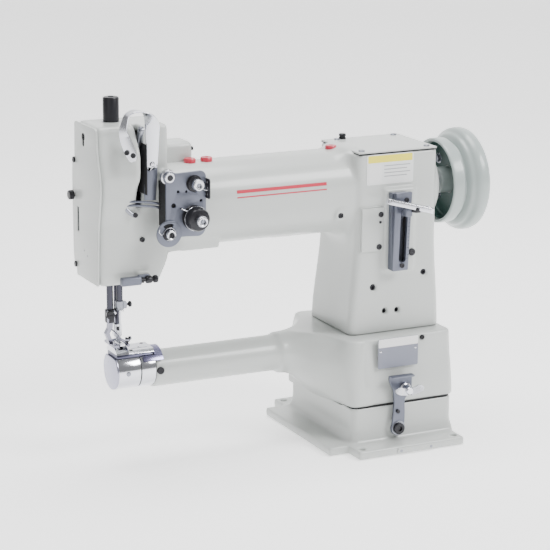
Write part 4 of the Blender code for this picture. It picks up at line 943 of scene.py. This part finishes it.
tube("finger_guard_wire", smooth_path([(PX + 0.6, -3.0, 149), (PX + 3, -8, 146.5), (PX + 7, -12.5, 141),
    (PX + 13, -13.2, 138.5), (NX + 8.0, -12, 138.6), (NX + 9.6, -8, 140.4)], 6), 0.7, FOOT, "presser_group",
    4)
for i, (dx, dz) in enumerate(((8.8, 136.6), (10.6, 138.8))):
    lathe(f"foot_lever_knob_{i + 1}", [(0, 0), (1.5, 0.2), (1.9, 0.8), (1.9, 2.4), (1.3, 3.0), (0, 3.0)],
        (NX + dx - 3.0, -8.4, dz), (1, 0, 0.3), BLACK, "presser_group", 20)
block("foot_hinge_lug", (NX + 4.5, -11.0, 134.3), (NX + 6.8, -5.5, 140.0), BLACK, "presser_group", 0.7)

# ---------------------------------------------------------------- bed end


def d_section(r, flat, count=60):
    half = math.degrees(math.asin((flat - CAP_Z) / r))
    return arc(0, CAP_Z, r, 180 - half, 360 + half, count)


# the end face of the chrome cap uses the darker chrome copy, painted shade
end_cap = prism("hook_cap_end_wall", d_section(20.5, 118.5), -308.0, -305.6, "YZ", CHROME_PAINTED_SHADE, HEAD, 0.7)
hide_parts("hook_cap")


def wall(name, r, inner, flat, x0, x1, mat, centre=CAP_Z):
    """The open-topped D-shaped skin of the bed end."""
    half = math.degrees(math.asin((flat - CAP_Z) / r))
    outline = (arc(0, CAP_Z, r, 180 - half, 360 + half, 60) + [(12, flat)]
        + arc(0, centre, inner, 42, -222, 50) + [(-12, flat)])
    return prism(name, outline, x0, x1, "YZ", mat, HEAD, 0.25)


wall("hook_cap_skin", 20.5, 18.3, 118.5, -305.9, -281.3, CHROME)
sleeve = wall("bed_sleeve_skin", 20.5, 16.4, 118.5, -280.0, -264.2, CHROME, 102)
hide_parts("bed_sleeve")
wall("hook_cap_seal", 19.9, 16.8, 118.1, -281.6, -279.8, RUBBER)
wall("bed_sleeve_seal", 19.6, 16.6, 118.1, -264.4, -263.4, RUBBER)


def crowned(half, low, flat=None):
    """Section of the needle plate: part of a circle, with its top ground flat or not."""
    lean = math.degrees(math.asin(half / 19.1))
    points = arc(0, 111.9, 19.1, 90 - lean, 90 + lean, 40)
    if flat:
        points = [(y, min(z, flat)) for y, z in points]
    return points + [(-half + 0.3, low + 0.6), (-half + 1.2, low), (half - 1.2, low),
        (half - 0.3, low + 0.6)]


def opened(piece, *cutters):
    for cutter in cutters:
        cutting = piece.modifiers.new("opening", "BOOLEAN")
        cutting.operation = "DIFFERENCE"
        cutting.object = cutter
    settle(piece)
    piece.data.shade_smooth()
    piece.data.set_sharp_from_angle(angle=math.radians(28))
    for cutter in cutters:
        bpy.data.objects.remove(cutter)
    return piece


raised = opened(prism("needle_plate_raised", crowned(15.3, 124.2), -306.5, -292.3, "YZ", CHROME, HEAD,
    0.35), block("cut_feed", (NX - 4.6, -10.4, 100), (NX + 4.6, 10.0, 140), DARK, HEAD, 0.8, 3))
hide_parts("needle_plate")
prism("needle_plate_ground", crowned(15.3, 123.2, 126.5), -292.6, -264.1, "YZ", BRIGHT, HEAD, 0.35)
# painted shadow: dark sheet under the needle plate, cut open at the feed and the ground flat
lower_sheet = prism("needle_plate_painted_shadow", [(y * 0.94, z - 2.6) for y, z in crowned(15.3, 121.4)], -305.6, -266.0,
    "YZ", PAINTED_PLATE_SHADOW, HEAD, 0.2)
opened(lower_sheet, block("cut_painted_shadow", (-303.4, -10.8, 110), (-270, 10.8, 140), DARK, HEAD, 0.1, 1),
    block("cut_ground", (-293.5, -30, 124.2), (-250, 30, 140), DARK, HEAD, 0.1, 1))
slide = prism("slide_plate_blued", arc(0, CAP_Z, 22.4, 30, 150, 40) + arc(0, CAP_Z, 20.95, 150, 30, 40),
    -277.5, -255.0, "YZ", BLUED, "slide_cover", 0.3)
opened(slide, block("cut_notch", (-290, -15.7, 100), (-263.8, 15.7, 140), DARK, HEAD, 0.1, 1))
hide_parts("slide_plate")
for i, (x, y) in enumerate(((-289.0, -10.6), (-269, 9.6))):
    lathe(f"needle_plate_screw_{i + 1}", [(0, -1), (2.3, -1), (2.3, 0.15), (2.0, 0.3), (0, 0.3)],
        (x, y, 126.5), UP, BLACK, HEAD, 24)
block("needle_plate_gauge", (-286.5, -6.1, 126.45), (-268.0, -4.9, 126.62), GREY, HEAD, 0.02, 1)
block("needle_plate_gauge_mark", (-277.6, -5.0, 126.45), (-276.2, -0.4, 126.62), GREY, HEAD, 0.02, 1)
screw("bed_front_screw", (-259.0, -19.6, 102.6), (0, -1, 0.1), 4.0, 1.8, HEAD, BLACK)
lathe("hook_cap_plug", [(0, 0), (2.6, 0), (2.6, 0.3), (2.3, 0.45), (0, 0.45)], (-295.5, -20.35, 103.5),
    FORE, STEEL, HEAD, 28)


def dog():
    rounded(nodes["feed_dog"], 0.2, 1)
    for row in (-3.1, 3.1):
        for i in range(4):
            y = -6.8 + 3.6 * i
            block(f"feed_tooth_{'left' if row < 0 else 'right'}_{i + 1}", (NX + row - 0.7, y - 0.5, 129.0),
                (NX + row + 0.7, y + 0.5, 129.6), STEEL, "feed", 0.2, 1)


dog()

# ---------------------------------------------------------------- stitch regulator


def regulator_bracket():
    outer = [(-4, 193.6), (-3.4, 193), (14.4, 193), (15, 193.6), (18.5, 278.4), (17.9, 279), (-1.4, 279),
        (-2, 278.4)]
    slot_hole = arc(9.2, 253, 4.2, 0, 180, 10) + arc(7.6, 206, 4.2, 180, 360, 10)
    face = prism("stitch_scale_face", outer, -61.5, -57.0, "XZ", PLATE, HEAD, 0.4, (slot_hole[::-1],))
    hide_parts("stitch_scale_bracket")
    block("stitch_scale_side", (-3.9, -57.2, 193.3), (-0.4, -50.2, 278.7), PLATE, HEAD, 0.5)
    block("stitch_scale_back", (-2, -51.6, 194), (15.8, -50.1, 278), PLATE, HEAD, 0.3)
    # painted shade: dark sheets inside the bracket, seen through its slot
    block("stitch_scale_painted_shade_left", (1.6, -57.3, 200), (3.0, -51.0, 258), DARK, HEAD, 0.1, 1)
    block("stitch_scale_painted_shade_right", (13.4, -57.3, 200), (14.4, -51.0, 258), DARK, HEAD, 0.1, 1)
    block("stitch_scale_key", (-1.6, -63.0, 273.6), (3.8, -61.2, 279.0), PLATE, HEAD, 0.5)
    for i, (x, z) in enumerate(((7.4, 198.6), (11.6, 270.6))):
        screw(f"stitch_scale_screw_{i + 1}", (x, -61.4, z), FORE, 2.9, 1.2, HEAD, BLACK, "socket")
    for i in range(13):
        long = 2.6 if i % 3 == 0 else 1.6
        block(f"stitch_scale_tick_{i + 1}", (15.0 + 0.15 * i - long, -61.62, 206 + 3.9 * i),
            (14.9 + 0.15 * i, -61.4, 206.5 + 3.9 * i), BLACK, HEAD, 0.02, 1)
    screw("regulator_side_screw", (25.5, -49.9, 209.6), FORE, 4.0, 2.2, HEAD, BLACK)


regulator_bracket()


def lever_bar():
    """A flat bar with rounded ends and an eye at the right."""
    length, half = 53.1, 5.5
    outline = arc(length - half, 0, half, -90, 90, 14) + arc(4.0, 0, half - 0.6, 90, 270, 10)
    bar = prism("stitch_lever_bar", outline, -2.9, 2.9, "XY", BRIGHT, "stitch_regulator", 0.7,
        (circle(length - half - 0.3, 0, 2.7, 24)[::-1],))
    bar.data.transform(Matrix.Translation(-SHIFT * MM))
    start, end = Vector((-15.6, -68.0, 273.3)), Vector((34.5, -80.0, 260.5))
    x = (end - start).normalized()
    y = Vector((0.15, 0.93, 0.0))
    y = (y - x * y.dot(x)).normalized()
    z = x.cross(y)
    turn = Matrix((x, y, z)).transposed().to_4x4()
    bar.data.transform(Matrix.Translation((start + SHIFT) * MM) @ turn)
    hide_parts("stitch_lever")
    stem = tube("stitch_lever_stem", smooth_path([(8, -12, 231.5), (8, -34, 240), (8, -56, 252),
        (8, -71, 263)], 5), 2.7, STEEL, "stitch_regulator", 5)
    lathe("stitch_lever_hub", [(2, -4), (6, -4), (6, 3.6), (2, 3.6)], (8, -12, 232), RIGHT, STEEL,
        "stitch_regulator", 32)
    block("stitch_lever_wedge", (3.6, -75.5, 255.0), (11.6, -66.5, 264.0), PLATE, "stitch_regulator", 1.6)
    return stem


lever_bar()
NUT_AT = Vector((15.5, -76.0, 0))
nut = fluted("stitch_lever_nut_knurled", NUT_AT, 5.4, 0, 6.0, BLACK, "stitch_regulator", None, 16, 0.3, 2.0,
    1.5)
nut.data.transform(Matrix.Translation(-(SHIFT + NUT_AT) * MM))
nut_turn = Matrix.Rotation(math.radians(-90), 4, "X")
nut.data.transform(Matrix.Translation((SHIFT + NUT_AT + Vector((0, 0, 260.1))) * MM) @ nut_turn)
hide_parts("stitch_lever_nut")

# ---------------------------------------------------------------- handwheel and shafts

wheel_profile = [(7.3, 116), (7.3, 84), (14, 84), (14.6, 84.6), (14.6, 99.5), (41.8, 99.5), (43.2, 98),
    (43.6, 96), (43.6, 81), (44.4, 80.1), (46.4, 80.1), (47.2, 80.9), (47.5, 82), (47.5, 92.8),
    (46.8, 93.9), (44.2, 95.2), (43.6, 96.3), (43.9, 97.6), (48.6, 99.2), (50.6, 100.4), (51.6, 102.0),
    (52.3, 103.6), (54.2, 105.2), (56.0, 106.8), (57.0, 109), (57.4, 112), (57.3, 116), (56.2, 119.2),
    (54.0, 121.2), (51, 122), (46, 121.8), (42.5, 120.0), (39.5, 115.6), (34, 112.4), (24, 111.0),
    (18.5, 112.2), (16.2, 114.6), (15.2, 116)]
wheel = lathe("handwheel_turned", wheel_profile + [wheel_profile[0]], (0, 0, SHAFT_Z), RIGHT, WHEEL,
    "main_shaft_group", 128, 30)
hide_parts("handwheel")
lathe("handwheel_cup_lining", [(15.2, 98.9), (15.2, 99.3), (41.9, 99.3), (43.3, 97.8), (43.5, 88),
    (43.2, 88), (42.9, 97.4), (41.6, 98.9), (15.2, 98.9)], (0, 0, SHAFT_Z), RIGHT, CUP, "main_shaft_group",
    96)
for i in range(4):
    a = math.radians(45 + 90 * i)
    y, z = 29 * math.cos(a), SHAFT_Z + 29 * math.sin(a)
    screw(f"handwheel_bolt_{i + 1}", (99.0, y, z), LEFT, 4.6, 3.6, "main_shaft_group", STEEL, "hex")
    lathe(f"handwheel_washer_{i + 1}", [(0, -0.2), (6.2, -0.2), (6.4, 0.2), (6.2, 0.7), (0, 0.7)],
        (99.0, y, z), LEFT, BRIGHT, "main_shaft_group", 28)
lathe("handwheel_centre_washer", [(0, 114.2), (12.0, 114.2), (12.4, 114.6), (12.4, 116.2), (11.8, 116.8),
    (0, 116.8)], (0, 0, SHAFT_Z), RIGHT, STEEL, "main_shaft_group", 48)
screw("handwheel_centre_bolt", (116.6, 0, SHAFT_Z), RIGHT, 6.2, 4.2, "main_shaft_group", STEEL, "hex")
lathe("column_bearing_boss", [(14.5, 57), (41.5, 57), (41.0, 60.5), (38.5, 65), (34.5, 67.6), (30, 68.4),
    (15.4, 68.4), (14.6, 67.6)], (0, 0, SHAFT_Z + 1), RIGHT, PAINT, HEAD, 96)
for i in range(4):
    a = math.radians(45 + 90 * i)
    screw(f"bearing_flange_screw_{i + 1}", (68.2, 23 * math.cos(a), SHAFT_Z + 23 * math.sin(a)), RIGHT, 2.6,
        2.0, HEAD, BLACK, "socket")
for name in ("upper_sprocket", "lower_sprocket", "rotary_hook", "main_shaft", "hook_shaft", "bobbin"):
    rounded(nodes[name], 0.25, 2)

# ---------------------------------------------------------------- latch and base fittings


def latch():
    outline = (arc(LATCH_X, LATCH_Z, 8.6, 150, 390, 24)
        + flat_path([(1.8, 30), (2.0, 40), (1.6, 53), (4.5, 58), (9.5, 62)], 4)
        + [(10.0, 64), (10.0, 82.5), (-18, 82.5), (-18, 78)]
        + flat_path([(-16.5, 73), (-12.6, 64), (-11.4, 50), (-12.4, 38)], 4))
    arm = prism("latch_arm_plate", outline, -84.1, -81.0, "XZ", PLATE, "latch", 0.6,
        (circle(LATCH_X, LATCH_Z, 4.1, 24)[::-1], circle(1, 67, 3.6, 24)[::-1]))
    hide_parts("latch_arm")
    strip("latch_lip_bend", (((-4, -82.5, 80.5), RIGHT, 13.9), ((-4, -83.4, 82.0), RIGHT, 13.9),
        ((-4, -86, 82.4), RIGHT, 13.9), ((-4, -91, 82.0), RIGHT, 13.5)), 1.7, PLATE, "latch", 4)
    lathe("latch_eye_collar", [(4.2, 0), (8.0, 0), (8.2, 0.4), (8.0, 0.9), (4.2, 0.9)],
        (LATCH_X, -84.0, LATCH_Z), FORE, STEEL, "latch", 40)
    lathe("latch_stop_pin", [(0, 0), (2.2, 0), (2.2, 2.6), (1.8, 3.0), (0, 3.0)], (-7.5, -84.0, 42), FORE,
        BLACK, "latch", 24)


latch()
pivot = lathe("latch_pivot_turned", [(0, 66), (3.8, 66), (3.8, 84.6), (6.0, 84.8), (6.4, 85.3), (6.4, 87.2),
    (5.8, 87.8), (3.0, 87.8), (2.8, 85.8), (0, 85.8)], (LATCH_X, 0, LATCH_Z), FORE, BLACK, BASE, 40)
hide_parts("latch_pivot_screw")


def wing():
    bolt = lathe("wing_bolt_shank", [(0, 77.5), (2.4, 77.5), (3.2, 78.4), (3.2, 84.4), (6.4, 84.6),
        (6.6, 85.0), (6.6, 86.0), (6.0, 86.6), (5.2, 87.2), (4.8, 90), (4.3, 95.5), (3.4, 96.8), (0, 97)],
        (1, 0, 67), FORE, BRIGHT, "latch_bolt", 40)
    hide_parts("wing_bolt")
    for side in (-1, 1):
        points = [(side * 2.4, -95.0, -2.5), (side * 7, -95.6, -1.2), (side * 11, -96.4, 1.2),
            (side * 14, -96.6, 4.4), (side * 15.4, -96.2, 8.0)]
        outline_mid = [(1 + x, y + 1.4, 67 + z * 0.5) for x, y, z in points]
        strip(f"wing_bolt_wing_{'left' if side < 0 else 'right'}", [(at, (0, 0.15, 1), half) for at,
            half in zip(outline_mid, (4.2, 4.0, 4.4, 4.2, 2.2))], 2.4, BRIGHT, "latch_bolt", 5)


wing()
edge_plate = prism("front_edge_plate_sheet", round_rect(-19, 27, 1.3, 7.9, 3.0, 6), -107.3, -106.2, "XZ",
    PAINT, BASE, 0.3)
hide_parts("front_edge_plate")
for i, x in enumerate((-14.5, 22.5)):
    lathe(f"edge_plate_screw_{i + 1}", [(0, 0), (1.7, 0), (1.6, 0.3), (0, 0.35)], (x, -107.2, 4.6), FORE,
        STEEL, BASE, 20)
hinge = lathe("tilt_hinge_pin_turned", [(0, -54), (4.4, -54), (5, -53.4), (5, -52.6), (3, -52.4), (3, 61),
    (2.4, 62), (0, 62)], (0, HINGE_Y, HINGE_Z), RIGHT, STEEL, BASE, 32)
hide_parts("tilt_hinge_pin")
prism("base_split_seal", round_rect(-57.2, 65.2, -75.6, 75.6, 8.5), 46.9, 48.6, "XY", DARK, BASE, 0,
    (round_rect(-47, 55, -64, 64, 8)[::-1],))
# painted shade: dark lining for the shade inside the hole
lathe("bed_front_hole_painted_shade", [(0, 0), (2.6, 0), (2.6, 4), (0, 4)], (30.2, -66, 117.3), FORE, DARK, HEAD,
    24)
for i, (x, z, r) in enumerate(((-20, 173.5, 3.9), (-6, 146, 3.5), (9.5, 145.5, 3.5), (43, 184.5, 3.7))):
    lathe(f"column_socket_{i + 1}", [(0, 0), (r, 0), (r, 3.2), (r * 0.55, 3.2), (r * 0.5, 1), (0, 1)],
        (x, -42.4, z), FORE, BLACK, HEAD, 24)
lathe("arm_boss_socket", [(0, 0), (3.7, 0), (3.7, 1.8), (1.9, 1.8), (1.8, 0.8), (0, 0.8)],
    (-58, -40.2, 256), FORE, BLACK, HEAD, 24)

# ---------------------------------------------------------------- stage, light and camera

floor_mat = material("floor", (0.9, 0.9, 0.9), 0.7, mottle=0.0)
floor_mat.node_tree.nodes["Principled BSDF"].inputs["Emission Color"].default_value = (1, 1, 1, 1)
floor_mat.node_tree.nodes["Principled BSDF"].inputs["Emission Strength"].default_value = 1.0


def backdrop():
    def build(bm):
        rows = [(-6, 0.0), (2.2, 0.0), (2.8, 0.12), (3.2, 0.5), (3.4, 1.2), (3.4, 5.0)]
        left = [bm.verts.new((-8, y, z)) for y, z in rows]
        right = [bm.verts.new((8, y, z)) for y, z in rows]
        for i in range(len(rows) - 1):
            bm.faces.new((left[i], right[i], right[i + 1], left[i + 1]))
    mesh = filled(build)
    mesh.shade_smooth()
    floor = bpy.data.objects.new("floor", mesh)
    mesh.materials.append(floor_mat)
    floor.location.z = -0.0005
    floor.rotation_euler.z = math.radians(-26)
    bpy.context.scene.collection.objects.link(floor)


backdrop()


def area(name, at, target, size, power, color=(1, 1, 1)):
    light = bpy.data.lights.new(name, "AREA")
    light.shape = "RECTANGLE"
    light.size, light.size_y = size
    light.energy = power
    light.color = color
    lamp = bpy.data.objects.new(name, light)
    lamp.location = at
    lamp.rotation_euler = (Vector(target) - Vector(at)).to_track_quat("-Z", "Y").to_euler()
    bpy.context.scene.collection.objects.link(lamp)


area("key", (1.2, -1.5, 1.7), (0, 0, 0.2), (1.0, 0.9), 60)
area("fill", (-1.8, -1.3, 1.0), (0, 0, 0.2), (1.2, 1.2), 5)
area("top", (0, 0.2, 2.2), (0, 0, 0), (1.6, 1.2), 62)
world = bpy.data.worlds.new("studio")
bpy.context.scene.world = world
world.use_nodes = True
world.node_tree.nodes["Background"].inputs["Color"].default_value = (1.0, 1.0, 1.0, 1)
world.node_tree.nodes["Background"].inputs["Strength"].default_value = 0.3

CAMERA_AT = (-1051.7, -1923.2, 726.4)
FOCAL_PIXELS, PICTURE, SENSOR = 2033.3, 550, 36
yaw, pitch, roll = math.radians(25.956), math.radians(14.153), math.radians(0.252)
forward = Vector((math.sin(yaw) * math.cos(pitch), math.cos(yaw) * math.cos(pitch), -math.sin(pitch)))
right = Vector((math.cos(yaw), -math.sin(yaw), 0))
up = right.cross(forward)
camera_x = math.cos(roll) * right + math.sin(roll) * up
camera_y = -math.sin(roll) * right + math.cos(roll) * up
camera_data = bpy.data.cameras.new("camera")
camera_data.lens = FOCAL_PIXELS / PICTURE * SENSOR
camera_data.sensor_width = SENSOR
camera_data.clip_end = 20
camera = bpy.data.objects.new("camera", camera_data)
bpy.context.scene.collection.objects.link(camera)
camera_turn = Matrix((camera_x, camera_y, -forward)).transposed().to_4x4()
camera.matrix_world = Matrix.Translation(place(CAMERA_AT)) @ camera_turn
bpy.context.scene.camera = camera
